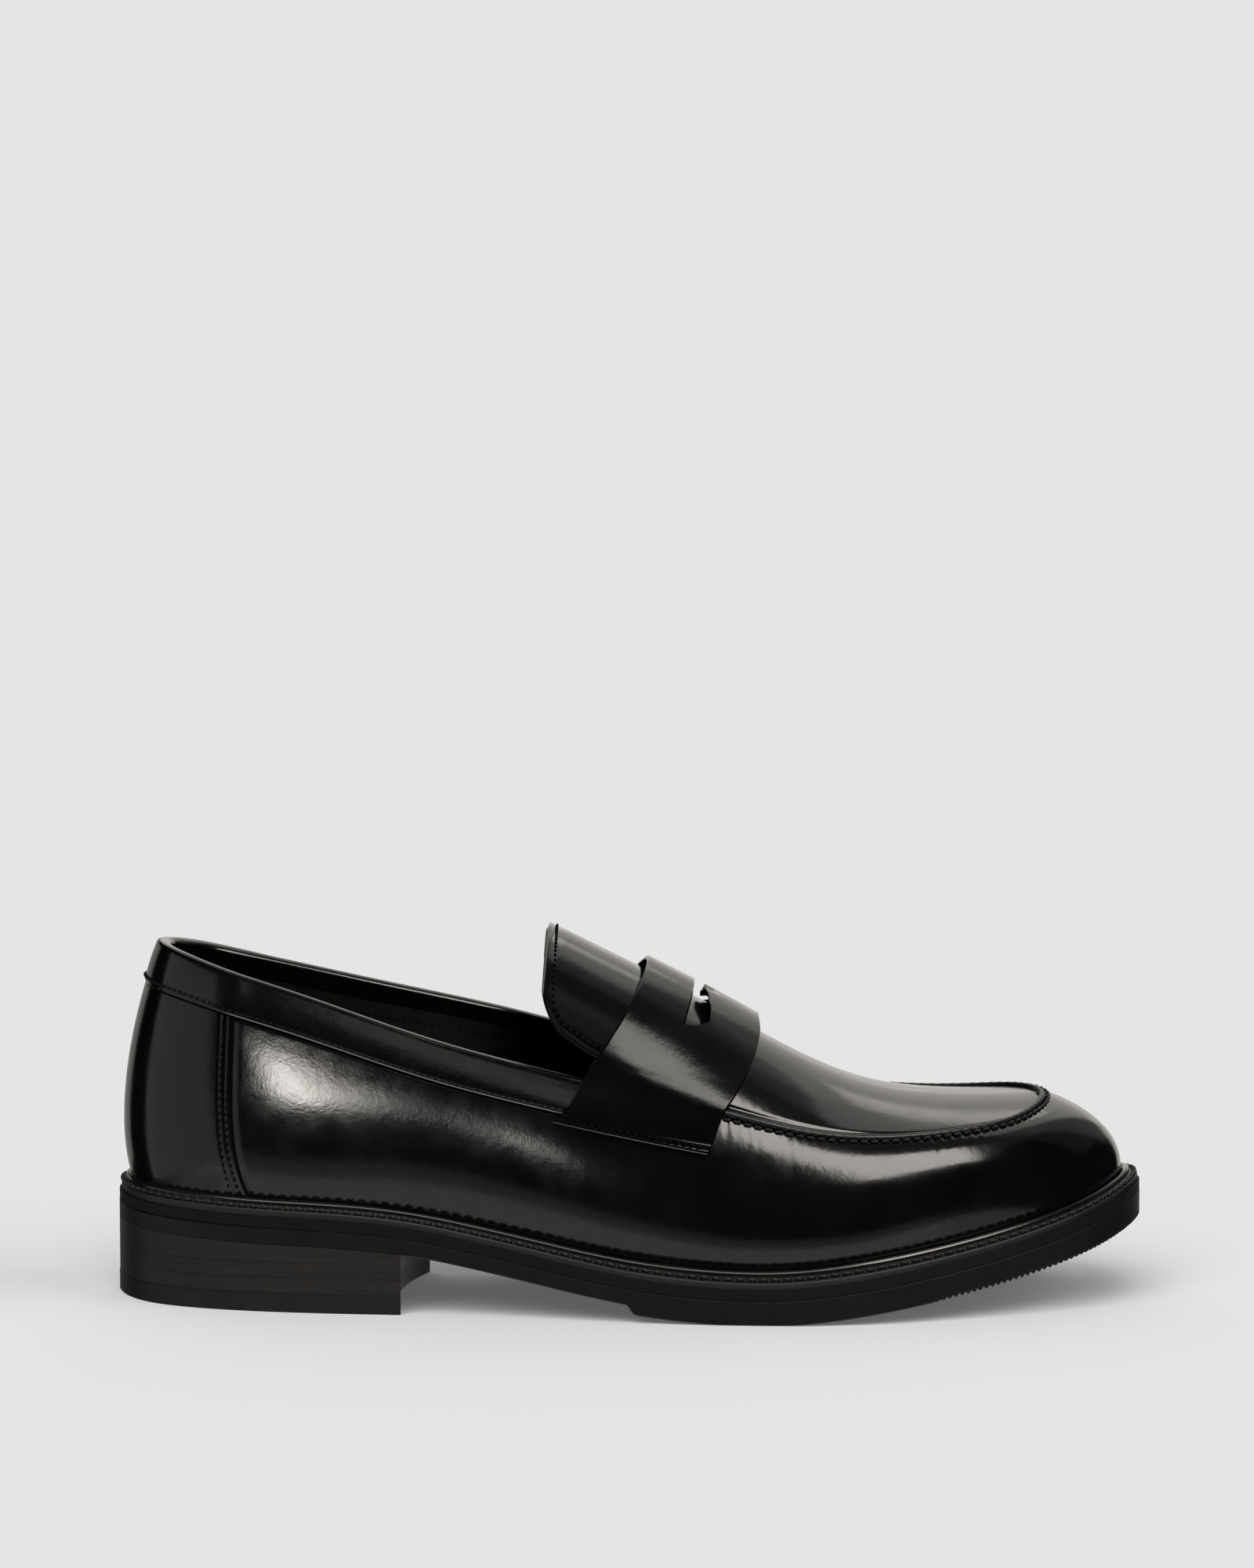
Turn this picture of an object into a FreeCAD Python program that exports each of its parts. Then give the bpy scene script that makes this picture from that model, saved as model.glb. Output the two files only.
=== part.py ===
import FreeCAD, Part
import math
import os
from FreeCAD import Placement, Rotation, Vector

# Right penny loafer.  X runs from the back of the heel to the toe, -Y is the outer (little toe) side,
# +Z is up from the floor.  Everything is laid out from the back of the heel and moved at the end,
# so that the origin is the centre of the footprint on the floor.

doc = FreeCAD.newDocument("penny_loafer")

# ---------------------------------------------------------------- driving dimensions (mm, degrees)
SIZES = {
    "sole_length": (300.0, "outsole, heel to toe"),
    "blank_width": (150.0, "width of the blank that each sole layer is cut from"),
    "welt_thick": (3.2, "welt strip"),
    "midsole_thick": (3.1, "microcellular midsole"),
    "outsole_thick": (4.7, "outsole under the waist and the heel"),
    "tread_thick": (2.6, "extra rubber under the forepart"),
    "tread_start": (149.0, "where the forepart tread begins"),
    "insole_thick": (2.8, "insole board"),
    "heel_pad_thick": (2.6, "foam pad under the heel"),
    "sock_thick": (1.2, "leather sock lining"),
    "top_lift_thick": (5.6, "rubber piece that meets the floor"),
    "heel_lift_thick": (4.5, "one leather heel lift"),
    "heel_breast": (84.4, "front corner of the heel on the outer side"),
    "breast_skew": (7.6, "how much further forward the corner is on the inner side"),
    "breast_hollow": (5.5, "depth of the hollow in the breast"),
    "nail_radius": (1.1, "heel nail"),
    "shank_thick": (1.5, "steel shank"),
    "shank_width": (14.0, "steel shank"),
    "leather_thick": (1.3, "upper leather"),
    "stiffener_thick": (0.8, "heel stiffener and toe puff"),
    "lining_thick": (0.9, "lining leather"),
    "layer_gap": (0.1, "cement between two layers"),
    "collar_width": (12.0, "collar band below the topline"),
    "strap_lift": (3.0, "air under the middle of the strap"),
    "tongue_hinge": (150.0, "distance from the heel of the line where the tongue bends"),
    "roll_width": (2.6, "raised seam around the apron"),
    "roll_height": (1.4, "raised seam around the apron"),
}
sheet = doc.addObject("Spreadsheet::Sheet", "sizes")
for row, (alias, (value, note)) in enumerate(SIZES.items(), 1):
    sheet.set(f"A{row}", alias)
    sheet.set(f"B{row}", str(value))
    sheet.setAlias(f"B{row}", alias)
    sheet.set(f"C{row}", note)
doc.recompute()


def size(alias):
    return float(sheet.get(alias))


SCALE = size("sole_length") / 300.0
LEATHER = size("leather_thick")
STIFFENER = size("stiffener_thick")
LINING = size("lining_thick")
GAP = size("layer_gap")

# ---------------------------------------------------------------- the last: stations around the shoe
# One row per station, from the back of the heel along the outer side to the toe and back along the
# inner side: sole edge x, y; how far the upper stands in from it; top edge x, y, z; then the belly of
# the wall: how far out and up the lower handle is, and how far out and down the upper handle is.
STATIONS = [
    (0, 11, 4.4, 13.4, 8.5, 104.2, 5.2, 17, 9.8, 26),
    (3, -2.5, 4.6, 15.8, -3.5, 103.9, 5.4, 17, 8.8, 26),
    (11, -14.2, 5.0, 23.4, -12.4, 101.8, 5.6, 17, 7.0, 25),
    (25, -22.4, 5.2, 36.5, -18.6, 97.6, 5.8, 17, 5.2, 23),
    (45, -28.2, 5.2, 55, -22.8, 92.1, 5.8, 17, 4.2, 21),
    (70, -32, 5.3, 76, -26.5, 85.3, 6.0, 17, 3.8, 19),
    (94, -34.5, 5.5, 96, -29, 79.1, 6.4, 17, 4.1, 18),
    (117, -38.5, 6.0, 116, -31.6, 73.9, 6.8, 16, 4.3, 17),
    (139, -43.3, 6.5, 136, -34.4, 69.2, 7.4, 15, 4.6, 16),
    (160, -47, 7.0, 157, -36.2, 63.8, 7.5, 14, 5.4, 14),
    (181, -49.3, 7.0, 178, -36.3, 58.3, 7.2, 13, 7.0, 12),
    (203, -50, 7.0, 199, -36, 53.2, 6.6, 12, 8.8, 9),
    (225, -47.6, 6.8, 220, -34.4, 51.2, 5.6, 11.5, 9.4, 6.5),
    (247, -41, 6.4, 240, -30.3, 52.0, 4.6, 11, 9.8, 5),
    (269, -31.5, 6.0, 257, -22.6, 53.6, 3.8, 11, 10.8, 4),
    (289, -16, 5.7, 267.6, -9.5, 55.8, 2.2, 11.5, 11.6, 3),
    (300, 9, 5.6, 271.9, 7, 57.6, 1.4, 12, 11.6, 2.8),
    (293, 29.5, 5.7, 267.6, 20.5, 58.0, 2.2, 12, 11.6, 3),
    (276, 42, 6.0, 257, 30.2, 56.6, 3.8, 12, 11.2, 4),
    (256, 50.5, 6.4, 240, 34.8, 55.4, 4.6, 12, 10.4, 5.5),
    (234, 55.6, 6.8, 220, 36.8, 56.0, 5.6, 13, 9.8, 8),
    (212, 57.2, 7.0, 199, 38, 58.4, 6.2, 14, 8.8, 11),
    (190, 55.2, 7.2, 178, 38.6, 62.4, 6.4, 15, 7.0, 14),
    (168, 50, 7.6, 157, 38.9, 67.6, 6.2, 16, 5.2, 16),
    (146, 42.5, 7.8, 136, 38.2, 73.4, 5.8, 16, 4.3, 17),
    (124, 36, 7.2, 116, 35.2, 79.2, 5.4, 16, 3.9, 18),
    (98, 32.8, 6.2, 96, 32.7, 84.2, 5.5, 16, 3.7, 19),
    (72, 34.6, 5.6, 76, 30.9, 88.8, 5.8, 17, 3.8, 21),
    (48, 37.6, 5.2, 56, 29.8, 93.4, 5.8, 17, 4.6, 23),
    (25, 38.6, 5.2, 37, 28.8, 97.8, 5.8, 17, 6.0, 25),
    (10, 32.5, 5.0, 23.8, 25.4, 101.2, 5.6, 17, 7.8, 26),
    (2.4, 22.4, 4.6, 15.8, 17.6, 103.3, 5.4, 17, 9.4, 26),
]
COUNT = len(STATIONS)
TOE = COUNT // 2

# height of the welt's upper face along the shoe: heel seat, shank, ball and toe spring
WELT_FACE = [
    (-6, 33.5), (0, 33.2), (40, 31.0), (82, 28.7), (104, 25.0), (127, 20.3), (149, 16.2),
    (172, 13.8), (194, 13.5), (216, 15.8), (239, 19.6), (262, 24.4), (284, 30.4), (300, 35.8), (306, 38.0),
]
# height of the instep's middle line above the floor at the toe and at each pair of stations behind it
CREST = [57.8, 58.0, 58.2, 58.8, 62.0, 70.8, 82.4, 93.4, 103.8, 114.0]


def open_spline(points, parameters):
    curve = Part.BSplineCurve()
    curve.interpolate(Points=points, Parameters=parameters)
    return curve


def ring(points):
    """Closed smooth curve through one point per station; its parameter is the station number."""
    curve = Part.BSplineCurve()
    curve.interpolate(Points=points, PeriodicFlag=True, Parameters=list(range(COUNT + 1)))
    return curve


def at(curve, station):
    return curve.value(station % COUNT)


welt_curve = open_spline([Vector(x * SCALE, 0, z) for x, z in WELT_FACE], [float(x) for x, z in WELT_FACE])
crest_curve = open_spline([Vector(0, 0, z) for z in CREST], [float(i) for i in range(len(CREST))])


def welt_height(x):
    return welt_curve.value(x / SCALE).z


sole_edge = ring([Vector(row[0] * SCALE, row[1], 0) for row in STATIONS])


def outward(curve, station):
    """Horizontal direction away from the foot."""
    tangent = curve.tangent(station % COUNT)[0]
    side = Vector(tangent.y, -tangent.x, 0)
    return side.normalize()


def wall_rails():
    feather = []
    belly = []
    shoulder = []
    top = []
    top_edge = ring([Vector(row[3] * SCALE, row[4], row[5]) for row in STATIONS])
    for i, row in enumerate(STATIONS):
        inset, low_out, low_up, high_out, high_down = row[2], row[6], row[7], row[8], row[9]
        foot = at(sole_edge, i) - outward(sole_edge, i) * inset
        foot.z = welt_height(foot.x) + GAP
        head = at(top_edge, i)
        feather.append(foot)
        belly.append(foot + outward(sole_edge, i) * low_out + Vector(0, 0, low_up))
        shoulder.append(head + outward(top_edge, i) * high_out - Vector(0, 0, high_down))
        top.append(head)
    return [ring(feather), ring(belly), ring(shoulder), ring(top)]


RAILS = wall_rails()
TOP_EDGE = RAILS[3]


def bezier(points, t):
    s = 1.0 - t
    weights = (s * s * s, 3 * s * s * t, 3 * s * t * t, t * t * t)
    total = Vector()
    for point, weight in zip(points, weights):
        total += point * weight
    return total


def wall(station, rise):
    """Outer face of the side wall: rise is 0 at the welt and 1 at the top edge."""
    return bezier([at(rail, station) for rail in RAILS], rise)


def arch(back, across):
    """Outer face of the instep: back counts stations behind the toe, across goes from outer to inner."""
    left = at(TOP_EDGE, TOE - back)
    right = at(TOP_EDGE, TOE + back)
    middle_height = (left.z + right.z) / 2
    half_width = (right.y - left.y) / 2
    rise = max(crest_curve.value(back).z - middle_height, 0.05)
    half_turn = 2 * math.atan(rise / half_width)
    reach = 4 / 3 * math.tan(half_turn / 2) * half_width / math.sin(half_turn) * math.cos(half_turn)
    lift = 4 / 3 * rise
    top = middle_height + lift
    near = Vector(left.x, left.y + reach, top)
    far = Vector(right.x, right.y - reach, top)
    return bezier([left, near, far, right], across)


STEP = 1e-3


def normal(face, p, q):
    along = face(p + STEP, q) - face(p - STEP, q)
    up = face(p, q + STEP) - face(p, q - STEP)
    return along.cross(up).normalize()


def skin(face, p, q, depth, sign=1.0):
    """Point at a depth below (negative) or above (positive) a face."""
    return face(p, q) + normal(face, p, q) * (depth * sign)


def wall_skin(station, rise, depth):
    return skin(wall, station, rise, depth)


def arch_skin(back, across, depth):
    return skin(arch, back, across, depth, -1.0 if ARCH_FLIPPED else 1.0)


ARCH_FLIPPED = normal(arch, 5.0, 0.5).z < 0


# ---------------------------------------------------------------- solids from a grid of points
FORWARD = 1


def surface(grid):
    patch = Part.BSplineSurface()
    patch.interpolate(grid)
    return patch


def shell_solid(outer_grid, inner_grid):
    """Closed solid between two grids of points, with ruled edges."""
    outer = surface(outer_grid)
    inner = surface(inner_grid)
    faces = [outer.toShape(), inner.toShape()]
    u0, u1, v0, v1 = outer.bounds()
    p0, p1, q0, q1 = inner.bounds()
    pairs = [
        (outer.uIso(u0), inner.uIso(p0)), (outer.uIso(u1), inner.uIso(p1)),
        (outer.vIso(v0), inner.vIso(q0)), (outer.vIso(v1), inner.vIso(q1)),
    ]
    for one, other in pairs:
        faces.append(Part.makeRuledSurface(one.toShape(), other.toShape(), FORWARD))
    shell = Part.makeShell(faces)
    shell.sewShape()
    solid = Part.makeSolid(shell.Shells[0])
    if solid.Volume < 0:
        solid.reverse()
    return solid


def lerp(a, b, t):
    return a + (b - a) * t


def grid_of(point, columns, rows, depth):
    return [[point(i / columns, j / rows, depth) for j in range(rows + 1)] for i in range(columns + 1)]


def shaped_feature(label, shape):
    feature = doc.addObject("Part::Feature", label)
    feature.Label = label
    feature.Shape = shape
    return feature


def leather_piece(label, point, columns, rows, outer_depth, inner_depth):
    """One sheet of leather: point(a, b, depth) gives the place of each corner of its grid."""
    solid = shell_solid(grid_of(point, columns, rows, outer_depth), grid_of(point, columns, rows, inner_depth))
    return shaped_feature(label, solid)


def wall_piece(label, start, end, low, high, columns, rows, outer_depth, inner_depth):
    """Leather on the side wall between two stations; start, end, low and high may be functions."""
    def point(a, b, depth):
        station = lerp(start(b), end(b), a)
        rise = lerp(low(station), high(station), b)
        return wall_skin(station, rise, depth)

    return leather_piece(label, point, columns, rows, outer_depth, inner_depth)


def constant(value):
    return lambda any_value: value


# ---------------------------------------------------------------- sole layers
def new_body(label):
    body = doc.addObject("PartDesign::Body", label)
    body.Label = label
    return body


def sketch_on(body, role, curves):
    sketch = body.newObject("Sketcher::SketchObject", body.Label + "_" + role)
    planes = {feature.Role: feature for feature in body.Origin.OriginFeatures}
    sketch.AttachmentSupport = [(planes[role], "")]
    sketch.MapMode = "FlatFace"
    for curve in curves:
        sketch.addGeometry(curve, False)
    doc.recompute()
    return sketch


def polygon(points):
    corners = [Vector(x, y, 0) for x, y in points]
    return [Part.LineSegment(a, b) for a, b in zip(corners, corners[1:] + corners[:1])]


def profile_curve(drop, start, end):
    """The welt's upper face seen from the side, lowered by drop, between two distances from the heel."""
    pieces = max(3, int(abs(end - start) / 22))
    points = []
    for i in range(pieces + 1):
        x = lerp(start, end, i / pieces)
        points.append(Vector(x, welt_height(x) - drop, 0))
    curve = Part.BSplineCurve()
    curve.interpolate(points)
    return curve


def band(top_drop, bottom_drop, start, end):
    """Side view of a layer with an even thickness."""
    upper = profile_curve(top_drop, start, end)
    lower = profile_curve(bottom_drop, start, end)
    ends = [Part.LineSegment(upper.EndPoint, lower.EndPoint), Part.LineSegment(lower.StartPoint, upper.StartPoint)]
    return [upper, lower] + ends


def outline(inset):
    """Plan of the sole drawn in from its edge."""
    points = []
    for i in range(COUNT):
        points.append(at(sole_edge, i) - outward(sole_edge, i) * inset)
    curve = Part.BSplineCurve()
    curve.interpolate(Points=points, PeriodicFlag=True)
    return curve


def feather_outline(inset):
    """Plan of the upper's lower edge drawn in by inset."""
    points = []
    for i in range(COUNT):
        foot = at(RAILS[0], i) - outward(RAILS[0], i) * inset
        points.append(Vector(foot.x, foot.y, 0))
    curve = Part.BSplineCurve()
    curve.interpolate(Points=points, PeriodicFlag=True)
    return curve


FRAME = polygon([(-40, -120), (360, -120), (360, 120), (-40, 120)])


def pad(body, sketch, length, symmetric):
    feature = body.newObject("PartDesign::Pad", body.Label + "_pad")
    feature.Profile = sketch
    feature.setExpression("Length", length)
    if symmetric:
        feature.SideType = "Symmetric"
    doc.recompute()
    return feature


def cut_through(body, curves, name, plane="XY_Plane"):
    before = body.Shape.Volume
    sketch = sketch_on(body, plane, curves)
    pocket = body.newObject("PartDesign::Pocket", body.Label + "_" + name)
    pocket.Profile = sketch
    pocket.Type = "ThroughAll"
    pocket.SideType = "Symmetric"
    doc.recompute()
    if body.Shape.Volume > before - 1.0:
        raise RuntimeError(f"{body.Label}: {name} cut nothing")


def sole_layer(label, side_view, plan, opening=None):
    body = new_body(label)
    pad(body, sketch_on(body, "XZ_Plane", side_view), "sizes.blank_width", True)
    cut_through(body, FRAME + [plan], "plan")
    if opening:
        cut_through(body, [opening], "opening")
    return body


START = -8.0
END = size("sole_length") + 5.0
WELT = size("welt_thick")
MIDSOLE = size("midsole_thick")
OUTSOLE = size("outsole_thick")
TREAD = size("tread_thick")
INSOLE = size("insole_thick")
MID_DROP = WELT + MIDSOLE
SOLE_DROP = MID_DROP + OUTSOLE
WALL_THICK = LEATHER + STIFFENER + LINING + 3 * GAP
TREAD_START = size("tread_start")


def outsole_side():
    """Side view of the outsole: thin under the heel and waist, a step, then the thick forepart."""
    top = profile_curve(MID_DROP, START, END)
    waist = profile_curve(SOLE_DROP, START, TREAD_START)
    forepart = profile_curve(SOLE_DROP + TREAD, TREAD_START + TREAD, END)
    return [
        top, waist, forepart,
        Part.LineSegment(waist.StartPoint, top.StartPoint),
        Part.LineSegment(waist.EndPoint, forepart.StartPoint),
        Part.LineSegment(forepart.EndPoint, top.EndPoint),
    ]


# the ball of the tread is worn flat where it stands on the floor
outsole = sole_layer("outsole", outsole_side(), outline(0.0))
cut_through(outsole, polygon([(START, -5.0), (END, -5.0), (END, 0.0), (START, 0.0)]), "floor", "XZ_Plane")
sole_layer("midsole", band(WELT, MID_DROP, START, END), outline(0.3))
sole_layer("welt", band(0.0, WELT, START, END), outline(0.7), feather_outline(WALL_THICK + 1.5))

# the shank lies in a slot of the cork filler, both inside the welt ring
SHANK_THICK = size("shank_thick")
SHANK_START = 48.0
SHANK_END = 158.0


def shank_plan(margin):
    half = size("shank_width") / 2 + margin
    middle = [(SHANK_START - margin, 4.0), (SHANK_END + margin, 2.0)]
    (x0, y0), (x1, y1) = middle
    return polygon([(x0, y0 - half), (x1, y1 - half), (x1, y1 + half), (x0, y0 + half)])


filler = sole_layer("cork_filler", band(0.0, WELT, START, END), feather_outline(WALL_THICK + 1.7))
cut_through(filler, shank_plan(0.2), "shank_slot")
sole_layer("shank", band(0.6, 0.6 + SHANK_THICK, START, END), feather_outline(WALL_THICK + 1.7))
shank = doc.getObject("shank")
cut_through(shank, FRAME + shank_plan(0.0), "strip")

INSIDE = feather_outline(WALL_THICK + 0.4)
sole_layer("insole_board", band(-INSOLE - GAP, -GAP, START, END), INSIDE)


# the front end of the heel pad is a straight cut across the shoe
PAD_TOP = INSOLE + 2 * GAP + size("heel_pad_thick")
PAD_END = 88.0
pad_body = sole_layer("heel_pad", band(-PAD_TOP, -INSOLE - 2 * GAP, START, END), feather_outline(WALL_THICK + 3.0))
cut_through(pad_body, polygon([(PAD_END, -120), (360, -120), (360, 120), (PAD_END, 120)]), "front")


def sock_side():
    """The sock lies on the insole board and rises over the heel pad."""
    on_board = INSOLE + 2 * GAP
    on_pad = PAD_TOP + GAP
    edges = []
    for lift in (0.0, size("sock_thick")):
        back = profile_curve(-on_pad - lift, START, PAD_END + 2.0)
        front = profile_curve(-on_board - lift, PAD_END + 20.0, END)
        edges += [back, Part.LineSegment(back.EndPoint, front.StartPoint), front]
    low_back, _, low_front, up_back, _, up_front = edges
    edges.append(Part.LineSegment(low_back.StartPoint, up_back.StartPoint))
    edges.append(Part.LineSegment(low_front.EndPoint, up_front.EndPoint))
    return edges


sole_layer("sock_lining", sock_side(), feather_outline(WALL_THICK + 0.6))

# ---------------------------------------------------------------- stacked heel
BREAST_X = size("heel_breast")
BREAST_SKEW = size("breast_skew")
OUTER_CORNER = -34.0
INNER_CORNER = 36.0
BREAST_FLARE = 6.0
NAIL_PLACES = [(16, 8), (30, -14), (28, 24), (58, -20), (58, 24)]


def breast_cut():
    """Everything in front of the hollow breast of the heel."""
    outer = Vector(BREAST_X, OUTER_CORNER, 0)
    inner = Vector(BREAST_X + BREAST_SKEW, INNER_CORNER, 0)
    middle = (outer + inner) / 2 - Vector(size("breast_hollow"), 0, 0)
    outer_far = outer + Vector(BREAST_FLARE, -26.0, 0)
    inner_far = inner + Vector(BREAST_FLARE, 26.0, 0)
    corners = [inner, inner_far, Vector(400, inner_far.y, 0), Vector(400, outer_far.y, 0), outer_far, outer]
    return [Part.Arc(outer, middle, inner)] + [Part.LineSegment(a, b) for a, b in zip(corners, corners[1:])]


def nail_holes():
    radius = size("nail_radius")
    return [Part.Circle(Vector(x, y, 0), Vector(0, 0, 1), radius) for x, y in NAIL_PLACES]


def flat_lift(label, bottom, thickness, inset):
    body = new_body(label)
    sketch = sketch_on(body, "XY_Plane", [outline(inset)])
    sketch.AttachmentOffset = Placement(Vector(0, 0, bottom), Rotation())
    pad(body, sketch, thickness, False)
    cut_through(body, breast_cut(), "breast")
    return body


SEAT_END = 110.0
TOP_LIFT = size("top_lift_thick")
LIFT = size("heel_lift_thick")
flat_lift("top_lift", 0.0, "sizes.top_lift_thick", -0.4)
lower_lift = flat_lift("heel_lift_lower", TOP_LIFT, "sizes.heel_lift_thick", 0.0)
cut_through(lower_lift, nail_holes(), "nails")
middle_lift = flat_lift("heel_lift_middle", TOP_LIFT + LIFT, "sizes.heel_lift_thick", 0.2)
cut_through(middle_lift, nail_holes(), "nails")


def wedge_side():
    """The uppermost lift is a wedge that takes up the slope of the heel seat."""
    base = TOP_LIFT + 2 * LIFT
    seat = profile_curve(SOLE_DROP + GAP, START, SEAT_END)
    low_start = Vector(START, base, 0)
    low_end = Vector(SEAT_END, base - 8.0, 0)
    knee = Vector(BREAST_X + BREAST_SKEW + 2.0, base, 0)
    return [
        seat, Part.LineSegment(seat.EndPoint, low_end), Part.LineSegment(low_end, knee),
        Part.LineSegment(knee, low_start), Part.LineSegment(low_start, seat.StartPoint),
    ]


upper_lift = sole_layer("heel_lift_upper", wedge_side(), outline(0.3))
cut_through(upper_lift, breast_cut(), "breast")
cut_through(upper_lift, nail_holes(), "nails")

nails = []
for x, y in NAIL_PLACES:
    length = welt_height(x) - SOLE_DROP - TOP_LIFT - 1.0
    nails.append(Part.makeCylinder(size("nail_radius"), length, Vector(x, y, TOP_LIFT)))
shaped_feature("heel_nails", Part.makeCompound(nails))

# ---------------------------------------------------------------- upper
STRAP_COVER = 8.6
COUNTER = 3.75
LOW_EDGE = 0.0
TOP = 1.0


def wall_height(station):
    return (wall(station, 1.0) - wall(station, 0.5)).Length + (wall(station, 0.5) - wall(station, 0.0)).Length


def collar_edge(station):
    """Where the collar band ends, as a share of the wall's height."""
    return 1.0 - size("collar_width") / wall_height(station)


def counter_line(rise):
    """Front edge of the counter: it runs forward as it nears the feather edge."""
    return COUNTER - 1.06 * rise + 0.29 * rise * rise


def smooth(x):
    x = min(max(x, 0.0), 1.0)
    return x * x * (3 - 2 * x)


def vamp_top(station):
    """The vamp stops under the collar band behind the strap and reaches the apron in front of it."""
    distance = min(station, COUNT - station)
    return lerp(collar_edge(station) - 0.003, 0.995, smooth((distance - STRAP_COVER) / 1.0))


def side_start(b):
    return counter_line(b * 0.85)


def side_end(b):
    return COUNT - counter_line(b * 0.85)


SEAM = 0.015
wall_piece("vamp", lambda b: side_start(b) + SEAM, lambda b: side_end(b) - SEAM,
           constant(LOW_EDGE), vamp_top, 64, 7, 0.0, -LEATHER)
wall_piece("counter_cover", lambda b: -side_start(b), side_start,
           constant(LOW_EDGE), lambda s: collar_edge(s) - 0.003, 24, 7, 0.0, -LEATHER)
wall_piece("collar_band", constant(-STRAP_COVER), constant(STRAP_COVER),
           lambda s: collar_edge(s) + 0.003, constant(TOP), 48, 3, 0.0, -LEATHER)

STIFF_OUT = -LEATHER - GAP
STIFF_IN = STIFF_OUT - STIFFENER
wall_piece("heel_stiffener", constant(-5.6), constant(5.0),
           constant(0.02), constant(0.72), 28, 5, STIFF_OUT, STIFF_IN)
wall_piece("toe_puff", constant(TOE - 4.2), constant(TOE + 4.2),
           constant(0.02), constant(0.93), 28, 5, STIFF_OUT, STIFF_IN)

LINE_OUT = STIFF_IN - GAP
LINE_IN = LINE_OUT - LINING
HEEL_GRIP = 3.8
wall_piece("heel_lining", constant(-HEEL_GRIP), constant(HEEL_GRIP),
           constant(0.01), constant(0.985), 24, 7, LINE_OUT, LINE_IN)
wall_piece("quarter_lining_lateral", constant(HEEL_GRIP + SEAM), constant(9.6),
           constant(0.01), constant(0.985), 20, 6, LINE_OUT, LINE_IN)
wall_piece("quarter_lining_medial", constant(COUNT - 9.6), constant(COUNT - HEEL_GRIP - SEAM),
           constant(0.01), constant(0.985), 20, 6, LINE_OUT, LINE_IN)
wall_piece("vamp_lining", constant(9.6 + SEAM), constant(COUNT - 9.6 - SEAM),
           constant(0.01), constant(0.93), 40, 6, LINE_OUT, LINE_IN)


def station_behind(x):
    """How many stations behind the toe the instep reaches a given distance from the heel."""
    low, high = 0.5, 9.0
    for _ in range(40):
        middle = (low + high) / 2
        if arch(middle, 0.5).x > x:
            low = middle
        else:
            high = middle
    return (low + high) / 2


HINGE_BACK = station_behind(size("tongue_hinge"))
TIP_BACK = 0.1
EDGE_GAP = 0.012


def apron_point(a, b, depth):
    """The apron narrows to the toe; its rows crowd together there."""
    back = lerp(HINGE_BACK - 0.06, TIP_BACK, a)
    gap = EDGE_GAP + 0.002 / back
    return arch_skin(back, lerp(gap, 1 - gap, b), depth)


leather_piece("apron", apron_point, 40, 10, 0.0, -LEATHER)


def apron_lining_point(a, b, depth):
    back = lerp(HINGE_BACK - 0.06, 1.1, a)
    margin = lerp(0.075, 0.16, a * a)
    return arch_skin(back, lerp(margin, 1 - margin, b), depth)


leather_piece("apron_lining", apron_lining_point, 30, 8, STIFF_OUT, STIFF_OUT - LINING)


ROLL_SPAN = 6.3


def roll_point(a, b, depth):
    """Raised roll of leather where the apron and the vamp are sewn edge to edge."""
    station = lerp(TOE - ROLL_SPAN, TOE + ROLL_SPAN, a)
    back = max(abs(station - TOE), 0.4)
    across = 0.01 if station < TOE else 0.99
    instep = normal(arch, back, across) * (-1.0 if ARCH_FLIPPED else 1.0)
    up = (instep + normal(wall, station, 0.99)).normalize()
    along = TOP_EDGE.tangent(station)[0]
    outside = along.cross(up).normalize()
    return at(TOP_EDGE, station) + outside * (size("roll_width") * (b - 0.5)) + up * depth


leather_piece("apron_seam_roll", roll_point, 44, 3, GAP + size("roll_height"), GAP)


def tongue_edge(back_share):
    """How far in from the sides the tongue is cut: it narrows in a curve towards its free end."""
    return lerp(0.048, 0.15, back_share * back_share)


TONGUE_END = station_behind(125.8)


def tongue_point(a, b, depth):
    back = lerp(HINGE_BACK, TONGUE_END, a)
    margin = tongue_edge(a)
    return arch_skin(back, lerp(margin, 1 - margin, b), depth)


leather_piece("tongue", tongue_point, 14, 10, 0.0, -LEATHER)
leather_piece("tongue_lining", tongue_point, 14, 10, STIFF_OUT, STIFF_OUT - LINING)


# ---------------------------------------------------------------- strap
def wall_station(x, rise, low, high):
    """Station where the wall at one height reaches a given distance from the heel (stations low to high)."""
    for _ in range(30):
        middle = (low + high) / 2
        if wall(middle, rise).x > x:
            high = middle
        else:
            low = middle
    return (low + high) / 2


STRAP_REAR = [(0.0, 127.8), (0.1, 133.4), (0.2, 137.8), (0.26, 143.6), (0.35, 150.0), (0.43, 152.8), (0.5, 153.6)]
STRAP_FRONT = [(0.0, 172.2), (0.1, 174.8), (0.2, 177.6), (0.26, 181.6), (0.35, 185.3), (0.43, 186.1), (0.5, 185.6)]
STRAP_WALL = 0.2
STRAP_FOOT = 0.703
SOFTEN = [(-0.05, 1), (-0.025, 2), (0.0, 3), (0.025, 2), (0.05, 1)]


def strap_line(points):
    places = [Vector(x * SCALE, 0, 0) for share, x in points]
    mirrored = list(reversed(places[:-1]))
    shares = [share for share, x in points]
    curve = open_spline(places + mirrored, shares + [1 - share for share in reversed(shares[:-1])])
    return lambda share: curve.value(share).x


strap_rear = strap_line(STRAP_REAR)
strap_front = strap_line(STRAP_FRONT)


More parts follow.
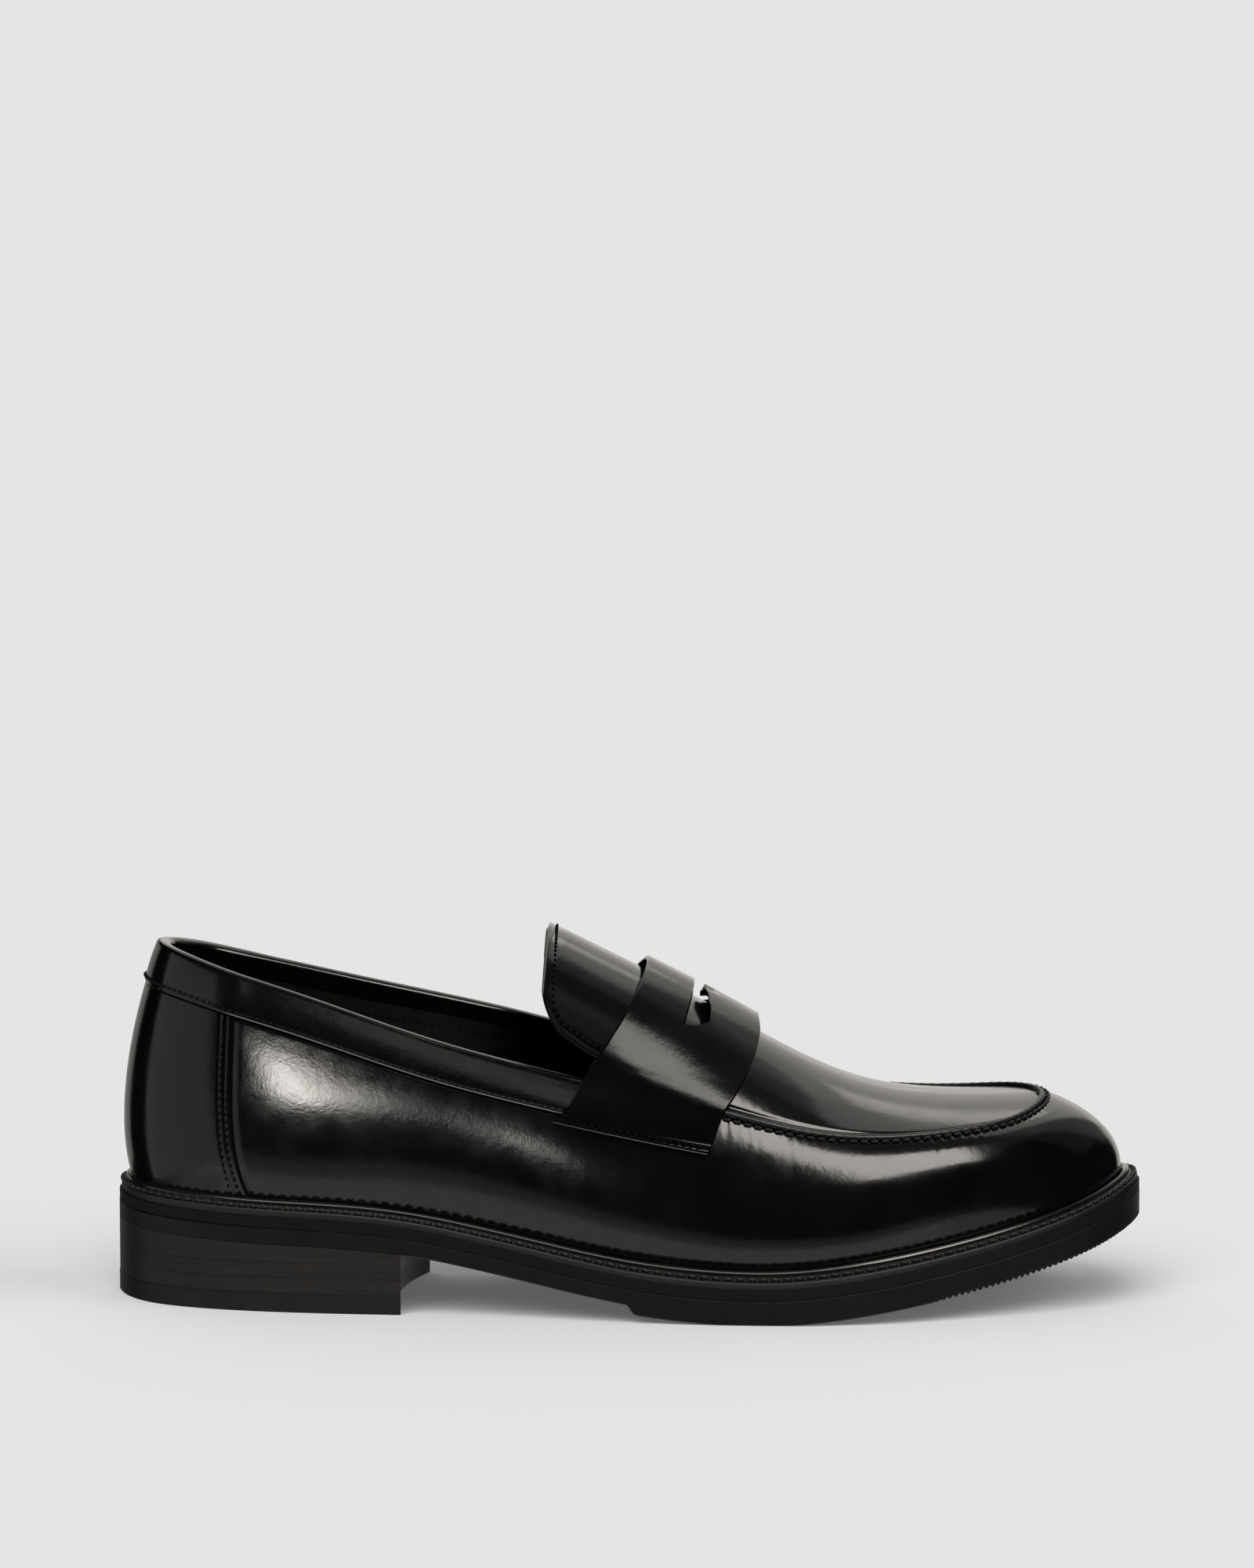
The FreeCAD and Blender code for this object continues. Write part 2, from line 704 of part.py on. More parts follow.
def strap_base(share, x):
    """Point and normal on the shoe under the strap; share runs from the outer end to the inner end."""
    on_wall = share < STRAP_WALL or share > 1 - STRAP_WALL
    if on_wall:
        outer = share < 0.5
        climb = (share if outer else 1 - share) / STRAP_WALL
        rise = lerp(STRAP_FOOT, 1.0, climb)
        station = wall_station(x, rise, 6.0, 12.0) if outer else wall_station(x, rise, COUNT - 6.0, COUNT - 12.0)
        return wall(station, rise), normal(wall, station, rise)
    across = (share - STRAP_WALL) / (1 - 2 * STRAP_WALL)
    back = station_behind_at(x, across)
    direction = normal(arch, back, across)
    return arch(back, across), direction * (-1.0 if ARCH_FLIPPED else 1.0)


def station_behind_at(x, across):
    low, high = 3.0, 9.0
    for _ in range(30):
        middle = (low + high) / 2
        if arch(middle, across).x > x:
            low = middle
        else:
            high = middle
    return (low + high) / 2


def strap_point(a, b, depth):
    x = lerp(strap_rear(b), strap_front(b), a)
    place = Vector()
    direction = Vector()
    total = 0
    for offset, weight in SOFTEN:
        base, tilt = strap_base(min(max(b + offset, 0.0), 1.0), x)
        place += base * weight
        direction += tilt * weight
        total += weight
    place = place / total
    direction.normalize()
    from_side = 0.5 - abs(b - 0.5)
    lift = size("strap_lift") * smooth(from_side / 0.5 * 1.6 - 0.6)
    over_roll = 1.4 * math.exp(-((from_side - STRAP_WALL) / 0.06) ** 2)
    clearance = 0.55 + lift + over_roll
    return place + direction * (clearance + depth)


strap = shell_solid(grid_of(strap_point, 8, 40, LEATHER), grid_of(strap_point, 8, 40, 0.0))


SLOT_REAR = 169.0
SLOT_FRONT = 173.2
SLOT_HALF = 26.5
SLOT_MIDDLE = 2.2
SLOT_BOW = 3.5
BEAK = 2.6
BELOW_STRAP = 50.0


def slot_prism():
    """The penny slot: a bowed rear edge, and two hollow arcs that meet in a beak on the front edge."""
    def place(x, y):
        return Vector(x, SLOT_MIDDLE + y, BELOW_STRAP)

    def half(side):
        end = place(SLOT_REAR - SLOT_BOW, side * SLOT_HALF)
        shoulder = place(SLOT_FRONT, side * (SLOT_HALF - 5.0))
        corner = Part.Arc(end, place(SLOT_REAR + 1.6, side * (SLOT_HALF - 2.4)), shoulder)
        hollow = Part.Arc(shoulder, place(SLOT_FRONT + 0.2, side * SLOT_HALF * 0.4), place(SLOT_FRONT - BEAK, 0))
        return end, corner, hollow

    outer_end, outer_corner, outer_hollow = half(-1)
    inner_end, inner_corner, inner_hollow = half(1)
    rear = Part.Arc(outer_end, place(SLOT_REAR, 0), inner_end)
    edges = [rear, inner_corner, inner_hollow, outer_hollow, outer_corner]
    wire = Part.Wire([edge.toShape() for edge in edges])
    return Part.Face(wire).extrude(Vector(0, 0, 80))


shaped_feature("saddle_strap", strap.cut(slot_prism()))

# ---------------------------------------------------------------- place, check and write
doc.recompute()
PARTS = [item for item in doc.Objects if item.TypeId in ("PartDesign::Body", "Part::Feature")]
whole = FreeCAD.BoundBox()
for item in PARTS:
    whole.add(item.Shape.BoundBox)
home = Vector(-(whole.XMin + whole.XMax) / 2, -(whole.YMin + whole.YMax) / 2, -whole.ZMin)
for item in PARTS:
    item.Placement = Placement(home, Rotation())
doc.recompute()

for item in doc.Objects:
    if "Invalid" in item.State or "Error" in item.State:
        raise RuntimeError(f"{item.Label} is {item.State}")
os.makedirs("parts", exist_ok=True)
for item in PARTS:
    if item.Shape.isNull() or not item.Shape.isValid():
        raise RuntimeError(f"{item.Label} has a bad shape")
    item.Shape.exportStep(f"parts/{item.Label}.step")
    box = item.Shape.BoundBox
    print(f"{item.Label:24s} {item.Shape.Volume / 1000:8.2f} cm3  x {box.XMin:7.1f} {box.XMax:7.1f}"
          f"  y {box.YMin:6.1f} {box.YMax:6.1f}  z {box.ZMin:6.1f} {box.ZMax:6.1f}")
print(f"home {home.x:.3f} {home.y:.3f} {home.z:.3f}")
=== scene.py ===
import math

import bmesh
import bpy
import numpy as np
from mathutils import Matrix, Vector


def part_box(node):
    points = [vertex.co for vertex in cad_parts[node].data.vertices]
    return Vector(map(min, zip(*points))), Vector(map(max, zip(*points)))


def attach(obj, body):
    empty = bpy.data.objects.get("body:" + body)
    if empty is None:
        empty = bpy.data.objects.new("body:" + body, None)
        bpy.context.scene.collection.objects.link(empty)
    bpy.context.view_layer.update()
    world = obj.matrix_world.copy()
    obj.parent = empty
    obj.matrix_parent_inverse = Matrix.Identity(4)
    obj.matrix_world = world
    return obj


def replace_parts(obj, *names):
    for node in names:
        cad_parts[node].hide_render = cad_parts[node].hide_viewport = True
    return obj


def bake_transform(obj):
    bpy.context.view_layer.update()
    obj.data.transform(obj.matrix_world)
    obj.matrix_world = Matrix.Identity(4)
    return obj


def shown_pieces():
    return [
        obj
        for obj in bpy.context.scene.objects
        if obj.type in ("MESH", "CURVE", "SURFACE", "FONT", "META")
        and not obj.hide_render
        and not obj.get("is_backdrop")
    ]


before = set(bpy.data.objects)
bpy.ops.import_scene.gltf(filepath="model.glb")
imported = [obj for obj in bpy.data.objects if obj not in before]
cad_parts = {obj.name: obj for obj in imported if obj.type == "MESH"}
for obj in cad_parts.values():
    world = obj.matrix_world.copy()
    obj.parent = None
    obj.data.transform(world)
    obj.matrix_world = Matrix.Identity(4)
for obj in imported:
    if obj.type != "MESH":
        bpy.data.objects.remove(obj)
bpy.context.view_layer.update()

MM = 0.001
rng = np.random.default_rng(11)

# ---- the last, in millimetres from the heel
# One row per station, from the back of the heel along the outer side to the toe and back along the
# inner side: sole edge x, y; how far the upper stands in from it; top edge x, y, z; then the belly of
# the wall: how far out and up the lower handle is, and how far out and down the upper handle is.
STATIONS = np.array([
    (0, 11, 4.4, 13.4, 8.5, 104.2, 5.2, 17, 9.8, 26),
    (3, -2.5, 4.6, 15.8, -3.5, 103.9, 5.4, 17, 8.8, 26),
    (11, -14.2, 5.0, 23.4, -12.4, 101.8, 5.6, 17, 7.0, 25),
    (25, -22.4, 5.2, 36.5, -18.6, 97.6, 5.8, 17, 5.2, 23),
    (45, -28.2, 5.2, 55, -22.8, 92.1, 5.8, 17, 4.2, 21),
    (70, -32, 5.3, 76, -26.5, 85.3, 6.0, 17, 3.8, 19),
    (94, -34.5, 5.5, 96, -29, 79.1, 6.4, 17, 4.1, 18),
    (117, -38.5, 6.0, 116, -31.6, 73.9, 6.8, 16, 4.3, 17),
    (139, -43.3, 6.5, 136, -34.4, 69.2, 7.4, 15, 4.6, 16),
    (160, -47, 7.0, 157, -36.2, 63.8, 7.5, 14, 5.4, 14),
    (181, -49.3, 7.0, 178, -36.3, 58.3, 7.2, 13, 7.0, 12),
    (203, -50, 7.0, 199, -36, 53.2, 6.6, 12, 8.8, 9),
    (225, -47.6, 6.8, 220, -34.4, 51.2, 5.6, 11.5, 9.4, 6.5),
    (247, -41, 6.4, 240, -30.3, 52.0, 4.6, 11, 9.8, 5),
    (269, -31.5, 6.0, 257, -22.6, 53.6, 3.8, 11, 10.8, 4),
    (289, -16, 5.7, 267.6, -9.5, 55.8, 2.2, 11.5, 11.6, 3),
    (300, 9, 5.6, 271.9, 7, 57.6, 1.4, 12, 11.6, 2.8),
    (293, 29.5, 5.7, 267.6, 20.5, 58.0, 2.2, 12, 11.6, 3),
    (276, 42, 6.0, 257, 30.2, 56.6, 3.8, 12, 11.2, 4),
    (256, 50.5, 6.4, 240, 34.8, 55.4, 4.6, 12, 10.4, 5.5),
    (234, 55.6, 6.8, 220, 36.8, 56.0, 5.6, 13, 9.8, 8),
    (212, 57.2, 7.0, 199, 38, 58.4, 6.2, 14, 8.8, 11),
    (190, 55.2, 7.2, 178, 38.6, 62.4, 6.4, 15, 7.0, 14),
    (168, 50, 7.6, 157, 38.9, 67.6, 6.2, 16, 5.2, 16),
    (146, 42.5, 7.8, 136, 38.2, 73.4, 5.8, 16, 4.3, 17),
    (124, 36, 7.2, 116, 35.2, 79.2, 5.4, 16, 3.9, 18),
    (98, 32.8, 6.2, 96, 32.7, 84.2, 5.5, 16, 3.7, 19),
    (72, 34.6, 5.6, 76, 30.9, 88.8, 5.8, 17, 3.8, 21),
    (48, 37.6, 5.2, 56, 29.8, 93.4, 5.8, 17, 4.6, 23),
    (25, 38.6, 5.2, 37, 28.8, 97.8, 5.8, 17, 6.0, 25),
    (10, 32.5, 5.0, 23.8, 25.4, 101.2, 5.6, 17, 7.8, 26),
    (2.4, 22.4, 4.6, 15.8, 17.6, 103.3, 5.4, 17, 9.4, 26),
], float)
COUNT = len(STATIONS)
TOE = COUNT // 2
# height of the welt's upper face along the shoe, and of the instep's middle line at pairs of stations
WELT_FACE = np.array([
    (-6, 33.5), (0, 33.2), (40, 31.0), (82, 28.7), (104, 25.0), (127, 20.3), (149, 16.2),
    (172, 13.8), (194, 13.5), (216, 15.8), (239, 19.6), (262, 24.4), (284, 30.4), (300, 35.8), (306, 38.0),
], float)
CREST = np.array([57.8, 58.0, 58.2, 58.8, 62.0, 70.8, 82.4, 93.4, 103.8, 114.0])

# thicknesses and depths in mm, measured outwards from the face of the upper
WELT = 3.2
MIDSOLE = 3.1
OUTSOLE = 4.7
TREAD = 2.6
TREAD_START = 149.0
LEATHER = 1.3
LINE_OUT = -2.3
LINE_IN = -3.2
COLLAR = 12.0
STRAP_COVER = 8.6
TOP_LIFT = 5.6
LIFT = 4.5


# ---- curves and surfaces
def periodic(points):
    """Control points of the closed uniform cubic spline through one point per station."""
    matrix = np.eye(COUNT) * 4 / 6
    matrix += (np.roll(np.eye(COUNT), 1, 1) + np.roll(np.eye(COUNT), -1, 1)) / 6
    return np.linalg.solve(matrix, np.asarray(points, float))


def ring(poles, station, slope=False):
    station = np.asarray(station, float) % COUNT
    i = np.floor(station).astype(int) % COUNT
    t = (station - np.floor(station))[..., None]
    a, b, c, d = poles[(i - 1) % COUNT], poles[i], poles[(i + 1) % COUNT], poles[(i + 2) % COUNT]
    if slope:
        return (-(1 - t)**2 * a + (3 * t**2 - 4 * t) * b + (-3 * t**2 + 2 * t + 1) * c + t**2 * d) / 2
    weights = ((1 - t)**3, 3 * t**3 - 6 * t**2 + 4, -3 * t**3 + 3 * t**2 + 3 * t + 1, t**3)
    return (weights[0] * a + weights[1] * b + weights[2] * c + weights[3] * d) / 6


def natural(x, y):
    """Natural cubic spline through points of increasing x."""
    h = np.diff(x)
    matrix = np.eye(len(x))
    side = np.zeros(len(x))
    for i in range(1, len(x) - 1):
        matrix[i, i - 1:i + 2] = (h[i - 1], 2 * (h[i - 1] + h[i]), h[i])
        side[i] = 6 * ((y[i + 1] - y[i]) / h[i] - (y[i] - y[i - 1]) / h[i - 1])
    bend = np.linalg.solve(matrix, side)

    def curve(q):
        q = np.asarray(q, float)
        k = np.clip(np.searchsorted(x, q) - 1, 0, len(h) - 1)
        d = q - x[k]
        first = (y[k + 1] - y[k]) / h[k] - h[k] * (2 * bend[k] + bend[k + 1]) / 6
        return y[k] + d * first + d * d * bend[k] / 2 + d**3 * (bend[k + 1] - bend[k]) / (6 * h[k])
    return curve


def lerp(a, b, t):
    return a + (b - a) * t


def smooth(x):
    x = np.clip(x, 0.0, 1.0)
    return x * x * (3 - 2 * x)


def bump_at(x, centre, width):
    return np.exp(-((x - centre) / width)**2)


def unit(vectors):
    return vectors / np.linalg.norm(vectors, axis=-1, keepdims=True)


def length_along(points):
    """Distance of each point from the first one, along the path through them."""
    return np.concatenate([[0], np.cumsum(np.linalg.norm(np.diff(points, axis=0), axis=-1))])


def bisect(low, high, rounds, is_short):
    """Halves an interval again and again; is_short says where its middle lies short of the answer."""
    for _ in range(rounds):
        middle = (low + high) / 2
        short = is_short(middle)
        low, high = np.where(short, middle, low), np.where(short, high, middle)
    return (low + high) / 2


def outward(poles, station):
    """Horizontal direction away from the foot."""
    tangent = ring(poles, station, slope=True)
    return unit(np.stack([tangent[..., 1], -tangent[..., 0], np.zeros_like(tangent[..., 0])], -1))


def bezier(points, t):
    t = np.asarray(t, float)[..., None]
    s = 1 - t
    return s**3 * points[0] + 3 * s * s * t * points[1] + 3 * s * t * t * points[2] + t**3 * points[3]


welt_height = natural(WELT_FACE[:, 0], WELT_FACE[:, 1])
crest_height = natural(np.arange(len(CREST), dtype=float), CREST)
SOLE_EDGE = periodic(np.c_[STATIONS[:, 0:2], np.zeros(COUNT)])


def wall_rails():
    """Feather edge, lower and upper handles, and top edge of the side wall."""
    stations = np.arange(COUNT)
    up = np.array([0, 0, 1.0])
    top = STATIONS[:, 3:6]
    foot = ring(SOLE_EDGE, stations) - outward(SOLE_EDGE, stations) * STATIONS[:, 2:3]
    foot[:, 2] = welt_height(foot[:, 0]) + 0.1
    away = outward(periodic(top), stations)
    belly = foot + outward(SOLE_EDGE, stations) * STATIONS[:, 6:7] + up * STATIONS[:, 7:8]
    shoulder = top + away * STATIONS[:, 8:9] - up * STATIONS[:, 9:10]
    return [periodic(rail) for rail in (foot, belly, shoulder, top)]


RAILS = wall_rails()
TOP_EDGE = RAILS[3]


def wall(station, rise):
    """Side wall of the upper: station runs around the shoe, rise from the feather edge to the top edge."""
    return bezier([ring(rail, station) for rail in RAILS], rise)


def arch(back, across):
    """Instep between the two top edges, back stations behind the toe, across from the outer side."""
    left = ring(TOP_EDGE, TOE - back)
    right = ring(TOP_EDGE, TOE + back)
    middle = (left[..., 2] + right[..., 2]) / 2
    half = (right[..., 1] - left[..., 1]) / 2
    rise = np.maximum(crest_height(back) - middle, 0.05)
    angle = 2 * np.arctan(rise / half)
    reach = 4 / 3 * np.tan(angle / 2) * half / np.tan(angle)
    lift = middle + 4 / 3 * rise
    near = np.stack([left[..., 0], left[..., 1] + reach, lift], -1)
    far = np.stack([right[..., 0], right[..., 1] - reach, lift], -1)
    return bezier([left, near, far, right], across)


def wall_normal(station, rise, step=1e-3):
    rise = np.asarray(rise, float)
    along = wall(station + step, rise) - wall(station - step, rise)
    upward = wall(station, rise + step) - wall(station, rise - step)
    return unit(np.cross(along, upward))


def arch_normal(back, across, step=1e-3):
    across = np.asarray(across, float)
    backward = arch(back + step, across) - arch(np.maximum(back - step, 0.02), across)
    sideways = arch(back, across + step) - arch(back, across - step)
    return unit(np.cross(sideways, backward))


def wall_height(station):
    middle = wall(station, np.full_like(station, 0.5))
    low = np.linalg.norm(middle - wall(station, np.zeros_like(station)), axis=-1)
    return low + np.linalg.norm(wall(station, np.ones_like(station)) - middle, axis=-1)


def arc_through(first, middle, last, count):
    """Points of the circular arc through three points in the plane, worked out as complex numbers."""
    a, b, c = (complex(*point) for point in (first, middle, last))
    ratio = (c - a) / (b - a)
    centre = a + (b - a) * (ratio - abs(ratio)**2) / (2j * ratio.imag)
    sweep = np.angle((c - centre) / (a - centre))
    arc = centre + (a - centre) * np.exp(1j * np.linspace(0, sweep, count))
    return np.c_[arc.real, arc.imag]


def home_shift():
    """Where the layout's zero lies in the model: the sole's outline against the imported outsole."""
    low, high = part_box("outsole")
    outline = ring(SOLE_EDGE, np.linspace(0, COUNT, 3201))
    middle = (outline.min(0) + outline.max(0)) / 2 * MM
    return np.array([(low[0] + high[0]) / 2 - middle[0], (low[1] + high[1]) / 2 - middle[1], 0.0])


HOME = home_shift()


def to_model(points):
    return np.asarray(points, float) * MM + HOME


# ---- meshes
SHARP_EDGE = 38


def new_object(name, data):
    item = bpy.data.objects.new(name, data)
    bpy.context.collection.objects.link(item)
    return item


def add_piece(name, points, faces, look, body="shoe", sharp=SHARP_EDGE):
    mesh = bpy.data.meshes.new(name)
    mesh.from_pydata(to_model(points).tolist(), [], faces)
    edit = bmesh.new()
    edit.from_mesh(mesh)
    bmesh.ops.remove_doubles(edit, verts=edit.verts, dist=2e-7)
    bmesh.ops.dissolve_degenerate(edit, dist=1e-8, edges=edit.edges)
    bmesh.ops.recalc_face_normals(edit, faces=edit.faces)
    edit.to_mesh(mesh)
    edit.free()
    mesh.shade_smooth()
    mesh.set_sharp_from_angle(angle=math.radians(sharp))
    piece = new_object(name, mesh)
    mesh.materials.append(look)
    if body:
        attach(piece, body)
    return piece


def quads(low, high):
    """Four-sided faces between two closed rows of point numbers, or between two stacks of such rows."""
    return np.stack([low, np.roll(low, -1, -1), np.roll(high, -1, -1), high], -1).reshape(-1, 4).tolist()


def distance_in(points, axis, from_end=False):
    """Distance along a grid's rows or columns from one of its edges."""
    steps = np.linalg.norm(np.diff(points, axis=axis), axis=-1)
    total = np.concatenate([np.zeros_like(steps.take([0], axis)), np.cumsum(steps, axis)], axis)
    if from_end:
        total = total.take([-1], axis) - total
    return total


def from_edges(points, axis):
    """Distance in from the nearer of a grid's two opposite edges."""
    return np.minimum(distance_in(points, axis), distance_in(points, axis, from_end=True))


def rounded(distance, radius):
    """How far a rounded edge falls below the face at a distance in from the edge."""
    short = np.clip(1 - distance / radius, 0, 1)
    return radius * (1 - np.sqrt(1 - short**2))


def crowd(count, share=0.8):
    """Values from 0 to 1 that lie closer together at both ends."""
    t = np.linspace(0, 1, count)
    return t - share * np.sin(math.tau * t) / math.tau


def sheet(name, base, normal, outer, inner, look, body="shoe"):
    """Closed sheet with an outer and an inner face at depths from a grid of points."""
    rows, columns = base.shape[:2]
    count = rows * columns
    points = [base + normal * np.broadcast_to(depth, (rows, columns))[..., None] for depth in (outer, inner)]
    index = np.arange(count).reshape(rows, columns)
    cells = np.stack([index[:-1, :-1], index[1:, :-1], index[1:, 1:], index[:-1, 1:]], -1).reshape(-1, 4)
    rim = np.concatenate([index[0, :-1], index[:-1, -1], index[-1, :0:-1], index[:0:-1, 0]])
    faces = cells.tolist() + (cells[:, ::-1] + count).tolist() + quads(rim, rim + count)
    return add_piece(name, np.reshape(points, (-1, 3)), faces, look, body)


def loft(name, loops, look, closed_section=False, sharp=SHARP_EDGE):
    """Skin over closed loops of equal length; an open stack ends in flat or collapsed loops."""
    loops = np.asarray(loops)
    index = np.arange(loops[..., 0].size).reshape(loops.shape[:2])
    low, high = (index, np.roll(index, -1, 0)) if closed_section else (index[:-1], index[1:])
    return add_piece(name, loops.reshape(-1, 3), quads(low, high), look, sharp=sharp)


def tube(name, section, look):
    """Skin over a swept section, given as one row of points for each of its corners, with closed ends."""
    rows = np.stack(section)
    index = np.arange(rows[..., 0].size).reshape(rows.shape[:2])
    ahead = np.roll(index, -1, 0)
    faces = np.stack([index[:, :-1], index[:, 1:], ahead[:, 1:], ahead[:, :-1]], -1).reshape(-1, 4).tolist()
    faces += [index[:, 0].tolist(), index[::-1, -1].tolist()]
    return add_piece(name, rows.reshape(-1, 3), faces, look)


def stitches(name, path, normal, pitch, look, length=0.6, radius=0.3, sink=0.04, twist=0.0,
             body="shoe"):
    """A row of short raised threads along a path of points, each with its ends pulled into the leather."""
    along = length_along(path)
    number = max(2, int(along[-1] / pitch))
    starts = (np.arange(number) + 0.5 - length / 2) * along[-1] / number
    reach = length * along[-1] / number

    def read(values, places):
        return np.array([np.interp(places, along, values[:, k]) for k in range(3)]).T

    origin = read(path, starts)
    span = read(path, starts + reach) - origin
    side = unit(np.cross(unit(span), read(normal, starts + reach / 2)))
    ups = np.cross(side, unit(span))
    rings, around = (15, 12) if twist else (7, 8)
    t = np.linspace(0, 1, rings)
    turn = np.arange(around) * math.tau / around
    girth = radius * (1 - np.abs(2 * t - 1)**6)**0.5
    height = radius * 0.9 * np.sin(math.pi * t)**0.7 - sink
    swell = girth[:, None] * (1 + twist * np.cos(2 * (turn - 5.0 * t[:, None])))
    across = swell * np.cos(turn)
    above = swell * np.sin(turn) + height[:, None]
    points = sum(way[:, None, None] * amount[None, ..., None]
                 for way, amount in ((span, t[:, None]), (side, across), (ups, above)))
    points = points + origin[:, None, None]
    index = np.arange(number * rings * around).reshape(number, rings, around)
    faces = quads(index[:, :-1], index[:, 1:])
    return add_piece(name, points.reshape(-1, 3), faces, look, body, sharp=80)


FINE_PITCH = 2.1


def fine_stitches(name, path, normal, radius=0.3, body="shoe"):
    return stitches(name, path, normal, FINE_PITCH, THREAD, radius=radius, body=body)


# ---- materials
class Look:
    """A procedural material; values that are even all over are set straight on the shader's sockets."""

    def __init__(self, name, **sockets):
        self.material = bpy.data.materials.new(name)
        self.material.use_nodes = True
        self.nodes = self.material.node_tree.nodes
        self.link = self.material.node_tree.links.new
        self.inputs = self.nodes["Principled BSDF"].inputs
        for socket, value in sockets.items():
            self.inputs[socket.replace("_", " ")].default_value = value

    def texture(self, kind, scale, detail=3.0, stretch=(1, 1, 1), **settings):
        """A texture in the object's own coordinates; scale is in features per metre."""
        place = self.nodes.new("ShaderNodeTexCoord")
        mapping = self.nodes.new("ShaderNodeMapping")
        mapping.inputs["Scale"].default_value = stretch
        node = self.nodes.new(f"ShaderNodeTex{kind}")
        node.inputs["Scale"].default_value = scale
        if "Detail" in node.inputs:
            node.inputs["Detail"].default_value = detail
        for key, value in settings.items():
            setattr(node, key, value)
        self.link(place.outputs["Object"], mapping.inputs["Vector"])
        self.link(mapping.outputs["Vector"], node.inputs["Vector"])
        return node.outputs["Distance" if kind == "Voronoi" else "Fac"]

    def vary(self, socket, pattern, low, high, start=0.3, end=0.7):
        """Drives one of the shader's sockets with a pattern, between two colours or two grey values."""
        node = self.nodes.new("ShaderNodeValToRGB")
        for element, value, place in zip(node.color_ramp.elements, (low, high), (start, end)):
            element.color = (*value, 1) if isinstance(value, tuple) else (value, value, value, 1)
            element.position = place
        self.link(pattern, node.inputs["Fac"])
        self.link(node.outputs["Color"], self.inputs[socket])

    def tint(self, pattern, base, factor):
        """Colour that wanders between a base and a lighter shade of it."""
        self.vary("Base Color", pattern, base, tuple(channel * factor for channel in base))

    def bumps(self, *layers):
        """Stacks bump maps: each layer is a height output, a depth in metres and a strength."""
        last = None
        for height, depth, strength in layers:
            node = self.nodes.new("ShaderNodeBump")
            node.inputs["Distance"].default_value = depth
            node.inputs["Strength"].default_value = strength
            self.link(height, node.inputs["Height"])
            if last:
                self.link(last, node.inputs["Normal"])
            last = node.outputs["Normal"]
        self.link(last, self.inputs["Normal"])


def polished_leather(name, base, rough, wave):
    """Glazed box calf: near black, very fine pores, faint long waves, gloss that varies a little."""
    look = Look(name, Specular_IOR_Level=0.5)
    look.tint(look.texture("Noise", 60.0, 4.0), base, 1.9)
    look.vary("Roughness", look.texture("Noise", 140.0, 5.0), rough - 0.03, rough + 0.04)
    pores = look.texture("Voronoi", 1500.0, feature="SMOOTH_F1")
    creases = look.texture("Noise", 420.0, 6.0)
    waves = look.texture("Noise", 48.0, 2.0)
    look.bumps((waves, wave, 1.0), (creases, 0.00004, 0.7), (pores, 0.00002, 0.35))
    return look.material


def matt_leather(name, base, rough):
    """Unglazed lining leather with a soft nap."""
    look = Look(name, Sheen_Weight=0.08, Sheen_Roughness=0.5, Specular_IOR_Level=0.3)
    look.tint(look.texture("Noise", 180.0, 5.0), base, 1.5)
    nap = look.texture("Noise", 1400.0, 3.0)
    look.vary("Roughness", nap, rough - 0.06, rough + 0.06)
    pores = look.texture("Voronoi", 1100.0)
    look.bumps((nap, 0.0001, 0.6), (pores, 0.00008, 0.5))
    return look.material


def stacked_heel(name, base):
    """Pressed board and leather lifts: thin level lines, dull with a burnished film."""
    look = Look(name, Specular_IOR_Level=0.3, Coat_Weight=0.06, Coat_Roughness=0.3)
    layers = look.texture("Noise", 40.0, 5.0, stretch=(1, 1, 22))
    look.tint(layers, base, 2.1)
    grit = look.texture("Noise", 900.0, 4.0, stretch=(1, 1, 3))
    look.vary("Roughness", grit, 0.42, 0.6)
    look.bumps((layers, 0.00012, 0.5), (grit, 0.00008, 0.5))
    return look.material


def rubber(name, base, rough, grain, depth):
    """Moulded rubber or microcellular foam: an even matt skin with a pebbled grain."""
    look = Look(name, Specular_IOR_Level=0.28)
    look.tint(look.texture("Noise", 90.0, 4.0), base, 1.7)
    cells = look.texture("Voronoi", grain, feature="SMOOTH_F1")
    fine = look.texture("Noise", grain * 2.2, 4.0)
    look.vary("Roughness", fine, rough - 0.08, rough + 0.08)
    look.bumps((cells, depth, 0.7), (fine, depth / 2, 0.6))
    return look.material


def waxed_thread(name, base, rough, gloss):
    """Twisted linen thread, waxed; the twist is a fine slanting wave."""
    look = Look(name, Specular_IOR_Level=gloss)
    strands = look.texture("Wave", 900.0, 1.0, stretch=(1, 0.4, 1.3))
    look.tint(strands, base, 2.2)
    fuzz = look.texture("Noise", 3000.0, 2.0)
    look.vary("Roughness", fuzz, rough - 0.08, rough + 0.08)
    look.bumps((strands, 0.00008, 0.7))
    return look.material


def plain_core(name, base, lighter, rough, grain, metallic=0.0):
    """A hidden inner part: board, cork, foam or steel, with its own speckle."""
    look = Look(name, Metallic=metallic)
    look.vary("Base Color", look.texture("Voronoi", grain), base, lighter, 0.1, 0.8)
    grit = look.texture("Noise", grain * 2, 4.0)
    look.vary("Roughness", grit, rough - 0.08, rough + 0.08)
    look.bumps((grit, 0.0001, 0.5))
    return look.material


